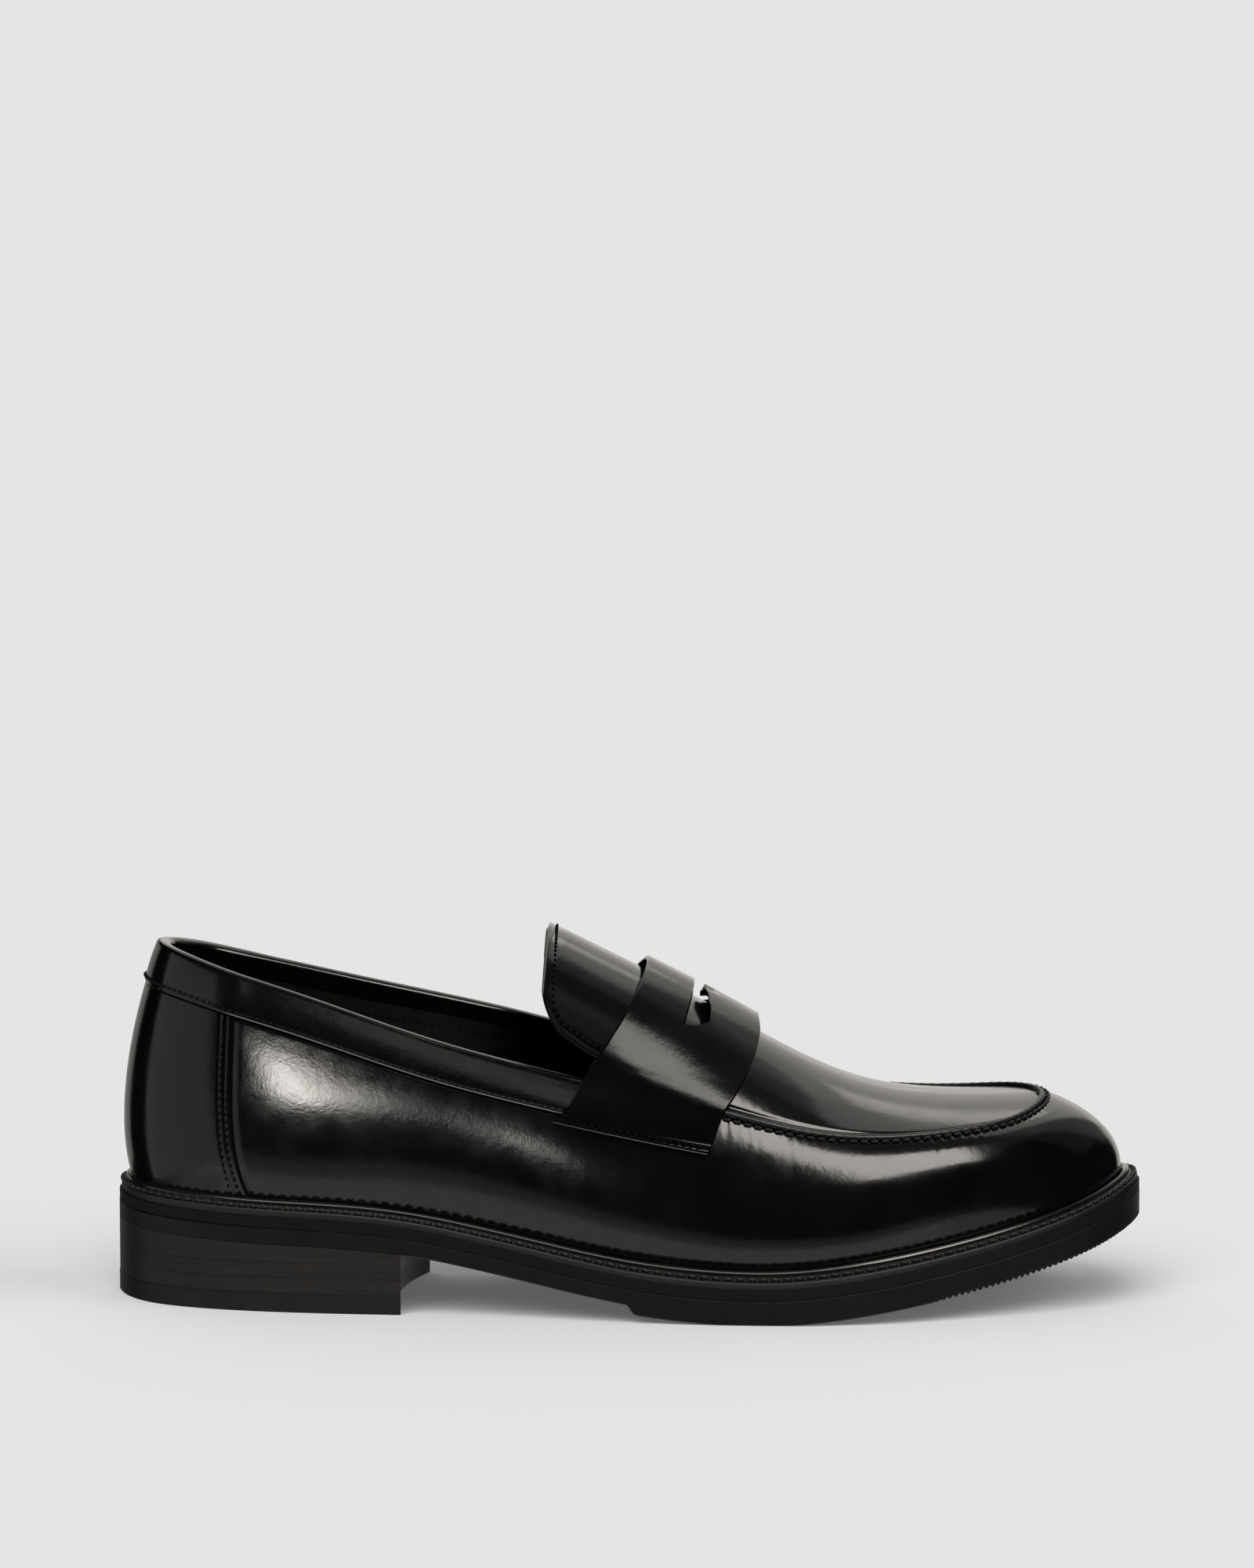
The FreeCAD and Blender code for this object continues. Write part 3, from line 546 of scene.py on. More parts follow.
UPPER = polished_leather("upper_box_calf", (0.0021, 0.0020, 0.0020), 0.145, 0.00004)
SEAM_LEATHER = polished_leather("seam_roll_calf", (0.0034, 0.0032, 0.0032), 0.40, 0.00004)
LINING = matt_leather("lining_leather", (0.0029, 0.0027, 0.0025), 0.62)
WELT_LEATHER = polished_leather("welt_leather_waxed", (0.0040, 0.0037, 0.0034), 0.54, 0.00002)
LIP_LEATHER = polished_leather("welt_lip_burnished", (0.0040, 0.0037, 0.0034), 0.17, 0.00001)
THREAD = waxed_thread("waxed_thread", (0.0018, 0.0017, 0.0016), 0.6, 0.12)
CORD = waxed_thread("waxed_cord", (0.0040, 0.0036, 0.0033), 0.42, 0.45)
FOAM_RUBBER = rubber("midsole_microcellular", (0.0028, 0.0026, 0.0023), 0.66, 1500.0, 0.00014)
SOLE_RUBBER = rubber("sole_rubber", (0.0052, 0.0048, 0.0045), 0.5, 2600.0, 0.00005)
HEEL_STACK = stacked_heel("heel_stack_board", (0.0066, 0.0054, 0.0047))


# ---- sole
def stations_around():
    """Places around the sole, closer together at the toe where the rim is serrated."""
    parts = ((0, 12, 300), (12, 20, 640), (20, 32, 300))
    return np.concatenate([np.linspace(start, end, count, endpoint=False) for start, end, count in parts])


AROUND = stations_around()


def sole_outline(station, inset):
    return ring(SOLE_EDGE, station) - outward(SOLE_EDGE, station) * np.asarray(inset, float)[..., None]


def spine_of(outline):
    """Middle line of a sole plan that its rings shrink to."""
    spine = outline.copy()
    spine[:, 0] = np.clip(outline[:, 0], 32.0, 262.0)
    spine[:, 1] = lerp(8.0, 4.0, (spine[:, 0] - 32.0) / 230.0)
    return spine


def level(outline, height):
    return np.c_[outline[:, :2], height]


MIDSOLE_INSET = 0.08
MIDSOLE_EDGE = 0.1


def midsole():
    """Foam layer: rings from its middle line out over the top, down the edge and back."""
    outline = sole_outline(AROUND, MIDSOLE_INSET)
    pulled = sole_outline(AROUND, MIDSOLE_INSET + MIDSOLE_EDGE)
    spine = spine_of(outline)
    top = welt_height(outline[:, 0]) - WELT
    loops = [level(plan, welt_height(plan[:, 0]) - WELT) for plan in (spine, pulled)]
    for share in np.linspace(0, 1, 5):
        loops.append(level(outline, lerp(top - MIDSOLE_EDGE, top - MIDSOLE + MIDSOLE_EDGE, share)))
    loops += [level(plan, welt_height(plan[:, 0]) - WELT - MIDSOLE) for plan in (pulled, spine)]
    piece = loft("midsole_layer", loops, FOAM_RUBBER)
    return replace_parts(piece, "midsole")


def tread_pattern(plan, inside):
    """Depth of the grooves under the forepart: slanting bars inside a smooth border."""
    x, y = plan[:, 0], plan[:, 1]
    bars = (x * 0.94 + np.abs(y - 4.0) * 0.34) / 5.2
    groove = smooth((np.abs(bars % 1 - 0.5) - 0.30) / 0.08)
    forepart = smooth((x - 158) / 2) * smooth((286 - x) / 2)
    return 0.9 * groove * forepart * inside


TOOTH = 0.8
TOOTH_PITCH = 1.9


def outsole():
    """Rubber unit: its rim is rounded ahead of the heel and notched at the toe, its forepart grooved."""
    drop = WELT + MIDSOLE + OUTSOLE

    def top(plan):
        return welt_height(plan[:, 0]) - WELT - MIDSOLE

    def bottom(plan):
        x = plan[:, 0]
        return np.maximum(welt_height(x) - drop - TREAD * smooth((x - TREAD_START) / TREAD), 0.0)

    outline = sole_outline(AROUND, 0.0)
    ahead = smooth((outline[:, 0] - 80) / 8)
    toe = smooth((outline[:, 0] - 236) / 8)
    teeth = TOOTH * toe * (0.5 + 0.5 * np.cos(math.tau * arc_length(SOLE_EDGE, AROUND) / TOOTH_PITCH))
    pulled = sole_outline(AROUND, lerp(0.06, 0.5, ahead))
    notched = sole_outline(AROUND, 0.6 * teeth)
    spine = spine_of(outline)
    low = bottom(outline)
    loops = [level(plan, top(plan)) for plan in (spine, sole_outline(AROUND, 0.4))]
    for share in np.linspace(0, 1, 6):
        loops.append(level(outline, lerp(top(outline) - 0.4, low + lerp(0.12, 1.1, ahead), share)))
    loops.append(level(notched, low + lerp(0.1, 0.9, ahead)))
    loops.append(level(notched, low + lerp(0.06, 0.35, ahead) + teeth))
    for share in [0.0, 0.06] + np.linspace(0.12, 1.0, 30).tolist():
        plan = lerp(pulled, spine, share)
        rim = teeth * smooth((0.45 - share) / 0.1)
        loops.append(level(plan, bottom(plan) + rim + tread_pattern(plan, smooth((share - 0.12) / 0.03))))
    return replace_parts(loft("outsole_unit", loops, SOLE_RUBBER, sharp=30), "outsole")


def arc_length(poles, stations):
    """Distance around a ring at each station, in mm."""
    fine = np.linspace(0, COUNT, 6401)
    return np.interp(stations, fine, length_along(ring(poles, fine)))


LIP_MIDDLE = 1.35
LIP_HALF = 1.2
LIP_HEIGHT = 1.65
LIP_END = 2.75
SHELF_FALL = 1.3
WELT_INSET = 0.7
WELT_PITCH = 3.4
CORD_TWIST = 0.16


def welt_groove(width):
    return lerp(LIP_END, width, 0.5)


def welt_section(width):
    """Section of the welt from the feather edge outwards: sloping shelf, stitch groove and side."""
    groove = welt_groove(width)
    half = np.minimum(0.7, (width - LIP_END) * 0.35)

    def shelf(reach, depth=0.0):
        return reach, -depth - SHELF_FALL * (reach - LIP_END) / (width - LIP_END)

    section = [(-1.6, -WELT), (-1.6, -0.1), (LIP_END, 0.0)]
    section += [shelf(groove - half), shelf(groove - half * 0.4, 0.25), shelf(groove + half * 0.4, 0.25)]
    section += [shelf(groove + half), shelf(width - 0.25), (width - 0.06, -SHELF_FALL - 0.07)]
    return section + [(width, -SHELF_FALL - 0.25), (width, -WELT + 0.08), (width - 0.08, -WELT)]


def welt_place(station, reach, height):
    """Point on the welt, reach mm outwards from the upper and height above its face."""
    foot = ring(RAILS[0], station)
    edge = sole_outline(station, WELT_INSET)
    width = np.linalg.norm((edge - foot)[:, :2], axis=-1)
    plan = lerp(foot, edge, (reach / width)[:, None])
    return level(plan, welt_height(plan[:, 0]) + height), width


def welt_width(station):
    return welt_place(station, 0 * station, 0)[1]


def welt():
    """Strip around the sole, the raised lip along the upper, and the row of stitches in the groove."""
    width = welt_width(AROUND)

    def swept(section):
        return [welt_place(AROUND, reach + 0 * width, height)[0] for reach, height in section]

    strip = loft("welt_strip", swept(welt_section(width)), WELT_LEATHER, closed_section=True)
    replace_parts(strip, "welt")
    turns = np.linspace(0.0, math.pi, 17)
    lip = [(LIP_MIDDLE - LIP_HALF * math.cos(turn), LIP_HEIGHT * math.sin(turn)) for turn in turns]
    lip += [(2.5, -0.4), (0.2, -0.4)]
    loft("welt_lip", swept(lip), LIP_LEATHER, closed_section=True)
    row = np.linspace(0, COUNT, 1600)
    path, _ = welt_place(row, welt_groove(welt_width(row)), -0.08 - SHELF_FALL / 2)
    tilt = unit(outward(SOLE_EDGE, row) * 0.6 + (0, 0, 1))
    stitches("welt_stitches", path, tilt, WELT_PITCH, CORD,
             length=0.8, radius=0.58, sink=0.0, twist=CORD_TWIST)


# ---- stacked heel
BREAST_X = 84.4
BREAST_SKEW = 7.6
BREAST_HOLLOW = 5.5
HEEL_CENTRE = (40.0, 6.0)
OUTER_CORNER = (BREAST_X, -34.0)
INNER_CORNER = (BREAST_X + BREAST_SKEW, 36.0)
BREAST = arc_through(OUTER_CORNER, (BREAST_X + BREAST_SKEW / 2 - BREAST_HOLLOW, 1.0), INNER_CORNER, 400)


def heel_outline(inset):
    """Plan of a heel lift: the sole's outline as far as the hollow breast, then across it."""
    stations = np.linspace(-8, 8, 900)
    rim = sole_outline(stations, inset)
    breast_x = np.interp(rim[:, 1], BREAST[:, 1], BREAST[:, 0])
    rim = rim[rim[:, 0] <= breast_x][:, :2]
    low, high = rim[-1, 1], rim[0, 1]
    y = np.linspace(low, high, 62)[1:-1]
    front = np.c_[np.interp(y, BREAST[:, 1], BREAST[:, 0]), y]
    return np.concatenate([rim, front])


def resample(outline, count):
    closed = np.concatenate([outline, outline[:1]])
    along = length_along(closed)
    places = np.linspace(0, along[-1], count, endpoint=False)
    return np.c_[np.interp(places, along, closed[:, 0]), np.interp(places, along, closed[:, 1])]


def heel_lift(name, node, bottom, top, inset, edge, look):
    """One lift with softened edges; its top is a height or a function of the distance from the heel."""
    plan = resample(heel_outline(inset), 700)
    along = np.roll(plan, -1, 0) - np.roll(plan, 1, 0)
    inward = unit(np.c_[-along[:, 1], along[:, 0]])
    centre = np.tile(HEEL_CENTRE, (len(plan), 1))
    pulled = plan + inward * edge
    loops = []
    for flat, share, height in ((centre, 0, top), (pulled, 0, top), (plan, edge, top), (plan, -edge, bottom),
                                (pulled, 0, bottom), (centre, 0, bottom)):
        z = height(flat[:, 0]) if callable(height) else np.full(len(plan), height)
        loops.append(np.c_[flat, z - share])
    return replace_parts(loft(name, loops, look), node)


def heel():
    """Rubber top lift and three boards; the upper one ends under the sole."""
    def seat(x):
        return welt_height(x) - WELT - MIDSOLE - OUTSOLE - 0.1

    heel_lift("heel_top_piece", "top_lift", 0.0, TOP_LIFT, -0.1, 0.12, SOLE_RUBBER)
    low = TOP_LIFT
    for place in ("lower", "middle", "upper"):
        top = seat if place == "upper" else low + LIFT
        heel_lift(f"heel_board_{place}", f"heel_lift_{place}", low, top, 0.0, 0.06, HEEL_STACK)
        low += LIFT


# ---- upper
COUNTER = 3.75
COUNTER_ROWS = (2.0, 4.0)
COUNTER_SLANT = 0.85
COLLAR_GAP = 0.003


def collar_edge(station):
    return 1.0 - COLLAR / wall_height(station)


def counter_line(rise):
    """Front edge of the counter: it runs forward as it nears the feather edge."""
    return COUNTER - 1.06 * rise + 0.29 * rise * rise


def from_heel(station):
    station = np.asarray(station, float) % COUNT
    return np.minimum(station, COUNT - station)


def vamp_top(station):
    return lerp(collar_edge(station) - COLLAR_GAP, 0.99, smooth(from_heel(station) - STRAP_COVER))


PUCKER_PITCH = 3.05
SEAM_SPAN = 6.3
PUCKER_COUNT = 400
pucker_size = rng.uniform(0.35, 1.0, PUCKER_COUNT)


def puckers(station, distance):
    """Scallops and radial wrinkles that the heavy seam draws into the leather beside it."""
    place = arc_length(TOP_EDGE, station % COUNT) / PUCKER_PITCH
    size = np.interp(place, np.arange(PUCKER_COUNT), pucker_size)
    toe_side = bump_at(station, 12.9, 1.2) + bump_at(station, TOE * 2 - 12.9, 1.2)
    strap_side = bump_at(station, 10.3, 0.8) + bump_at(station, TOE * 2 - 10.3, 0.8)
    strength = 0.09 + 0.07 * toe_side + 0.08 * strap_side
    length = 1.8 + 4.6 * size**3 * (toe_side + strap_side)
    held = smooth((SEAM_SPAN + 0.2 - np.abs(station - TOE)) / 0.3)
    wave = np.cos(math.tau * place)
    return -held * strength * size * (0.6 - wave) * np.exp(-(distance / length)**1.4)


def vamp():
    a, b = np.meshgrid(np.linspace(0, 1, 640), crowd(70, 0.9), indexing="ij")
    start = counter_line(b * COUNTER_SLANT) - 0.12
    station = lerp(start, COUNT - start, a)
    rise = b * vamp_top(station)
    base = wall(station, rise)
    below = distance_in(base, 1, from_end=True)
    tucked = smooth(1 - from_edges(base, 0) / 5.0)
    outer = puckers(station, below) - rounded(below, 0.9) - 0.45 * tucked
    piece = sheet("vamp_leather", base, wall_normal(station, rise), outer, -LEATHER, UPPER)
    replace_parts(piece, "vamp")


def counter():
    """Leather over the back of the heel, sewn down along both front edges."""
    a, b = np.meshgrid(crowd(220, 0.9), crowd(60, 0.7), indexing="ij")
    edge = counter_line(b * COUNTER_SLANT)
    station = lerp(-edge, edge, a)
    rise = b * (collar_edge(station) - COLLAR_GAP)
    base = wall(station, rise)
    ends = from_edges(base, 0)
    outer = 0.6 - rounded(ends, 0.55) - 0.08 * sum(bump_at(ends, row, 0.4) for row in COUNTER_ROWS)
    piece = sheet("counter_leather", base, wall_normal(station, rise), outer, -0.35, UPPER)
    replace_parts(piece, "counter_cover")
    rise = np.linspace(0.03, 0.8, 300)
    for side, place in ((-1, "inner"), (1, "outer")):
        spacing = np.linalg.norm(ring(TOP_EDGE, side * 3.4) - ring(TOP_EDGE, side * 2.4))
        for number, behind in enumerate(COUNTER_ROWS, 1):
            station = side * (counter_line(rise * 0.92) - behind / spacing)
            normal = wall_normal(station, rise)
            fine_stitches(f"counter_stitches_{place}_{number}", wall(station, rise) + normal * 0.5, normal)


def collar_depth(station):
    """The collar lies over the vamp, and over the thicker counter behind it."""
    return lerp(1.15, 0.6, smooth((from_heel(station) - 2.9) / 0.5))


COLLAR_CROWN = 1.45
COLLAR_ROW = 1.4
LINING_ROW = 10.0
COLLAR_FACE = ((0.0, 0.62), (0.08, 0.4), (0.25, 0.2), (0.5, 0.07), (0.8, 0.02), (1.05, 0.04), (1.4, 0.08),
               (1.75, 0.04), (2.2, 0.0), (4.0, -0.05), (6.2, -0.08), (8.0, -0.06))


def collar():
    """Band that wraps over the topline and turns down inside."""
    station = np.linspace(-STRAP_COVER - 0.1, STRAP_COVER + 0.1, 420)
    height = wall_height(station)
    depth = collar_depth(station)
    near_top = np.full_like(station, 0.985)
    up = unit(wall(station, np.ones_like(station)) - wall(station, near_top))
    out = wall_normal(station, near_top)
    half = (depth - LINE_IN + 0.15) / 2
    low = collar_edge(station) + COLLAR_GAP
    high = 1 - COLLAR_CROWN / height

    def row(rise, away):
        return wall(station, rise) + wall_normal(station, rise) * (away + 0 * station)[:, None]

    section = [row(low + offset / height, depth - fall) for offset, fall in COLLAR_FACE]
    section.append(row(high - 1.2 / height, depth))
    crest = wall(station, high)
    for angle in np.linspace(0, math.pi, 13):
        lean = half * (math.cos(angle) - 1) + depth
        section.append(crest + out * lean[:, None] + up * (COLLAR_CROWN * math.sin(angle)))
    section += [row(high - fall / height, LINE_IN - 0.15) for fall in (0.5, 1.5, 3.0, 4.0, 4.5)]
    section += [row(high - 5.0 / height, LINE_IN + gap) for gap in (0.1, 0.8)]
    section.append(row(low, -0.3))
    piece = tube("collar_band_leather", section, UPPER)
    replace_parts(piece, "collar_band")


def topline_stitches():
    """Rows along the collar's lower edge outside, and through the lining inside."""
    station = np.linspace(-8.3, 8.3, 900)
    rise = collar_edge(station) + COLLAR_GAP + COLLAR_ROW / wall_height(station)
    normal = wall_normal(station, rise)
    path = wall(station, rise) + normal * (collar_depth(station) - 0.12)[:, None]
    fine_stitches("collar_stitches", path, normal, radius=0.44)
    rise = 1.0 - LINING_ROW / wall_height(station)
    normal = -wall_normal(station, rise)
    path = wall(station, rise) - normal * LINE_IN
    stitches("lining_stitches", path, normal, FINE_PITCH, THREAD, radius=0.18, sink=0.08)


HEEL_GRIP = 3.8
QUARTER_END = 9.6


def linings():
    rear = COUNT - HEEL_GRIP
    front = COUNT - QUARTER_END
    for name, node, start, end, columns, top in (
            ("heel_grip_lining", "heel_lining", -HEEL_GRIP, HEEL_GRIP, 160, 0.955),
            ("quarter_lining_outer", "quarter_lining_lateral", HEEL_GRIP, QUARTER_END, 120, 0.955),
            ("quarter_lining_inner", "quarter_lining_medial", front, rear, 120, 0.955),
            ("forepart_lining", "vamp_lining", QUARTER_END, front, 240, 0.93)):
        a, b = np.meshgrid(np.linspace(0, 1, columns), crowd(30, 0.5), indexing="ij")
        station = lerp(start, end, a)
        rise = lerp(0.01, top, b)
        base = wall(station, rise)
        inner = LINE_IN + rounded(from_edges(base, 0), 0.4)
        piece = sheet(name, base, wall_normal(station, rise), LINE_OUT, inner, LINING)
        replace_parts(piece, node)


def sock():
    """Leather insole cover: it rises over the heel pad and turns up a little at its rim."""
    around = AROUND[::3]
    foot = ring(RAILS[0], around) - outward(RAILS[0], around) * 4.0
    spine = spine_of(foot)
    face = [(1.0, 1.2), (0.6, 1.2), (0.3, 1.2), (0.12, 1.35), (0.03, 1.7), (0.0, 1.75)]
    loops = []
    for share, lift in face + [(0.0, 0.0), (1.0, 0.0)]:
        plan = lerp(foot, spine, share)
        pad = lerp(5.7, 3.0, smooth((plan[:, 0] - 84) / 26))
        loops.append(level(plan, welt_height(plan[:, 0]) + pad + lift))
    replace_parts(loft("sock_cover", loops, LINING), "sock_lining")


# ---- apron, its seam, and the tongue
def station_behind(x, across=0.5):
    """How many stations behind the toe the instep reaches a given distance from the heel."""
    x = np.asarray(x, float)
    ends = (np.full(x.shape, 0.5), np.full(x.shape, 9.3))
    return bisect(*ends, 40, lambda back: arch(back, across)[..., 0] > x)


TONGUE_ROOT = 161.0


def apron():
    a, b = np.meshgrid(crowd(170, 0.3), crowd(110, 0.75), indexing="ij")
    back = lerp(station_behind(TONGUE_ROOT - 0.5), 0.1, a)
    gap = 0.012 + 0.002 / back
    across = lerp(gap, 1 - gap, b)
    base = arch(back, across)
    station = np.where(across < 0.5, TOE - back, TOE + back)
    edge = np.minimum(from_edges(base, 1), distance_in(base, 0, from_end=True))
    outer = 0.5 * puckers(station, edge) * smooth(back / 0.6)
    outer = outer - 0.35 * bump_at(edge, 1.9, 0.7) * smooth(back / 0.6)
    piece = sheet("apron_leather", base, arch_normal(back, across), outer, -LEATHER, UPPER)
    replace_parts(piece, "apron")


def seam_frame(station):
    """Point on the apron's edge with the directions up from it and out to the vamp."""
    back = np.maximum(np.abs(station - TOE), 0.4)
    across = np.where(station < TOE, 0.01, 0.99)
    up = unit(arch_normal(back, across) + wall_normal(station, np.full_like(station, 0.99)))
    along = unit(ring(TOP_EDGE, station, slope=True))
    outside = unit(np.cross(along, up))
    return ring(TOP_EDGE, station), unit(np.cross(outside, along)), outside


def seam():
    """Raised bead on the apron's side and the heavy twisted stitches that lie outside it."""
    station = np.linspace(TOE - SEAM_SPAN - 0.3, TOE + SEAM_SPAN + 0.3, 1500)
    place, up, outside = seam_frame(station)
    pinch = 0.5 - 0.5 * np.cos(math.tau * arc_length(TOP_EDGE, station) / PUCKER_PITCH)
    section = []
    for angle in np.linspace(0, math.tau, 20, endpoint=False):
        radius = 1.02 - 0.1 * pinch * max(math.sin(angle), 0)
        across = math.cos(angle) * radius - 0.95
        above = math.sin(angle) * radius * 0.98 + 0.05
        section.append(place + outside * across[:, None] + up * above[:, None])
    piece = tube("apron_bead", section, SEAM_LEATHER)
    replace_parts(piece, "apron_seam_roll")
    trim = slice(12, -12)
    path = (place + outside * 0.75 + up * 0.1)[trim]
    tilt = unit(up + outside * 0.8)[trim]
    stitches("apron_stitches", path, tilt, PUCKER_PITCH, CORD,
             length=0.86, radius=0.48, sink=0.05, twist=CORD_TWIST)


def tongue_place(a, b):
    """Point on the tongue: a runs from its root to its rounded free end, b across it."""
    end = 8.53 - 0.07 * (1 - (2 * b - 1)**2)
    back = lerp(station_behind(TONGUE_ROOT), end, a)
    margin = 0.03 + 0.075 * a * a
    corner = np.clip((a - 0.84) / 0.16, 0, 1)
    margin = margin + 0.085 * (1 - np.sqrt(1 - corner**2))
    return back, lerp(margin, 1 - margin, b)


def tongue():
    a, b = np.meshgrid(np.sin(np.linspace(0, math.pi / 2, 130)), crowd(110, 0.85), indexing="ij")
    back, across = tongue_place(a, b)
    base = arch(back, across)
    normal = arch_normal(back, across)
    edge = np.minimum(from_edges(base, 1), distance_in(base, 0, from_end=True))
    outer = 0.4 + 0.2 * smooth((edge - 3.2) / 3.0) - rounded(edge, 0.6) - 0.1 * bump_at(edge, 2.2, 0.45)
    leather = sheet("tongue_leather", base, normal, outer, -LEATHER, UPPER, body=None)
    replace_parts(leather, "tongue")
    inner = -LEATHER - 1.0 + rounded(edge, 0.5)
    lining = sheet("tongue_lining_leather", base, normal, -LEATHER, inner, LINING,
                   body=None)
    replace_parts(lining, "tongue_lining")
    for piece in (leather, lining, tongue_stitches()):
        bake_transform(piece)


def tongue_stitches():
    """Row along both sides and the free end, its corners rounded by averaging."""
    run = np.linspace(0, 1, 400)
    inset, end = 0.034, 0.94
    side_a = lerp(0.25, end, run)
    rim_a = np.concatenate([side_a, np.full(400, end), side_a[::-1]])
    rim_b = np.concatenate([np.full(400, inset), lerp(inset, 1 - inset, run), np.full(400, 1 - inset)])
    even = np.full(70, 1 / 70)
    back, across = tongue_place(np.convolve(rim_a, even, "valid"), np.convolve(rim_b, even, "valid"))
    normal = arch_normal(back, across)
    return fine_stitches("tongue_stitches", arch(back, across) + normal * 0.33, normal, 0.38, body=None)


# ---- strap
STRAP_SHARES = (0.0, 0.1, 0.2, 0.26, 0.35, 0.43, 0.5)
STRAP_REAR = (127.8, 133.4, 137.8, 143.6, 150.0, 152.8, 153.6)
STRAP_FRONT = (172.2, 174.8, 177.6, 181.6, 185.3, 186.1, 185.6)
STRAP_WALL = 0.2
STRAP_FOOT = 0.703
SLOT_REAR = 169.0
SLOT_FRONT = 173.2
SLOT_HALF = 26.5
SLOT_MIDDLE = 2.2
SLOT_BOW = 3.5
BEAK = 2.6
STRAP_ROWS = (1.5, 3.3)
SHARE_PER_MM = 0.0112


def strap_line(places):
    """Edge of the strap as a curve over the share of its length, the same on both sides of the middle."""
    shares = np.array(STRAP_SHARES)
    return natural(np.r_[shares, 1 - shares[-2::-1]], np.r_[places, places[-2::-1]])


strap_rear = strap_line(STRAP_REAR)
strap_front = strap_line(STRAP_FRONT)


def wall_station(x, rise, low, high):
    """Station at which the wall reaches a given distance from the heel, at a given rise."""
    ends = (np.broadcast_to(low, x.shape), np.broadcast_to(high, x.shape))
    return bisect(*ends, 30, lambda station: wall(station, rise)[..., 0] <= x)


def strap_base(share, x):
    """Point and normal on the shoe under the strap; share runs from the outer end to the inner end."""
    outer = share < 0.5
    climb = np.clip(np.where(outer, share, 1 - share) / STRAP_WALL, 0, 1)
    rise = lerp(STRAP_FOOT, 1.0, climb)
    station = wall_station(x, rise, np.where(outer, 6.0, COUNT - 6.0), np.where(outer, 12.0, COUNT - 12.0))
    across = np.clip((share - STRAP_WALL) / (1 - 2 * STRAP_WALL), 0, 1)
    back = station_behind(x, across)
    on_wall = (np.minimum(share, 1 - share) < STRAP_WALL)[..., None]
    place = np.where(on_wall, wall(station, rise), arch(back, across))
    return place, np.where(on_wall, wall_normal(station, rise), arch_normal(back, across))


def strap_surface(share, x):
    """The strap's underside, softened over the corner of wall and instep and lifted over the middle."""
    place, normal = 0, 0
    for offset, weight in ((-0.05, 1), (-0.025, 2), (0.0, 3), (0.025, 2), (0.05, 1)):
        base, tilt = strap_base(np.clip(share + offset, 0, 1), x)
        place = place + base * weight / 9
        normal = normal + tilt * weight
    normal = unit(normal)
    from_side = 0.5 - np.abs(share - 0.5)
    lift = 3.0 * smooth(from_side / 0.5 * 1.6 - 0.6)
    clearance = 0.55 + lift + 1.4 * bump_at(from_side, STRAP_WALL, 0.06)
    return place + normal * clearance[..., None], normal


def slot_outline():
    """Plan of the penny slot: a bowed rear edge, and two hollow arcs that meet in a beak in front."""
    mirror = (1, -1)
    corner = np.array((SLOT_REAR - SLOT_BOW, SLOT_HALF))
    shoulder = (SLOT_FRONT, SLOT_HALF - 5.0)
    tip = (SLOT_FRONT - BEAK, 0)
    side = arc_through(corner, (SLOT_REAR + 1.6, SLOT_HALF - 2.4), shoulder, 16)[:-1]
    half = np.concatenate([side, arc_through(shoulder, (SLOT_FRONT + 0.2, SLOT_HALF * 0.4), tip, 30)])
    rear = arc_through(corner * mirror, (SLOT_REAR, 0), corner, 60)[1:-1]
    return np.concatenate([rear, half[:-1], half[::-1] * mirror]) + (0, SLOT_MIDDLE)


def slot_cutter():
    outline = slot_outline()
    count = len(outline)
    points = [(*point, height) for height in (60.0, 130.0) for point in outline]
    index = np.arange(count)
    faces = quads(index, index + count) + [index[::-1].tolist(), (index + count).tolist()]
    return add_piece("slot_cutter", points, faces, UPPER)


def curl_beak(piece):
    """Bends the beak down until it meets the apron."""
    tip = to_model((SLOT_FRONT - BEAK, SLOT_MIDDLE, 0))
    for vertex in piece.data.vertices:
        away = vertex.co - Vector(tip)
        ahead = away.x / (8 * MM)
        aside = away.y / (5 * MM)
        if -0.2 < ahead < 1 and abs(aside) < 1:
            vertex.co.z -= 2.6 * MM * (1 - max(ahead, 0))**2 * (1 - aside * aside)**2


def strap():
    a, b = np.meshgrid(crowd(64, 0.75), crowd(330, 0.4), indexing="ij")
    base, normal = strap_surface(b, lerp(strap_rear(b), strap_front(b), a))
    foot = from_edges(base, 1)
    edge = np.minimum(foot, from_edges(base, 0))
    grooves = 0.12 * sum(bump_at(foot, row, 0.4) for row in STRAP_ROWS)
    outer = LEATHER - rounded(edge, 0.5) - grooves
    piece = sheet("saddle_strap_leather", base, normal, outer, 0.0, UPPER)
    cutter = slot_cutter()
    cut = piece.modifiers.new("slot", "BOOLEAN")
    cut.object = cutter
    cut.solver = "EXACT"
    graph = bpy.context.evaluated_depsgraph_get()
    cut_mesh = bpy.data.meshes.new_from_object(piece.evaluated_get(graph))
    piece.modifiers.clear()
    piece.data = cut_mesh
    bpy.data.objects.remove(cutter)
    curl_beak(piece)
    piece.data.shade_smooth()
    piece.data.set_sharp_from_angle(angle=math.radians(SHARP_EDGE))
    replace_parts(piece, "saddle_strap")
    for place in ("outer", "inner"):
        for number, above in enumerate(STRAP_ROWS, 1):
            from_foot = above * SHARE_PER_MM
            share = np.full(300, from_foot if place == "outer" else 1 - from_foot)
            x = lerp(strap_rear(share), strap_front(share), np.linspace(0.05, 0.95, 300))
            under, normal = strap_surface(share, x)
            path = under + normal * (LEATHER - 0.1)
            fine_stitches(f"strap_stitches_{place}_{number}", path, normal, radius=0.38)


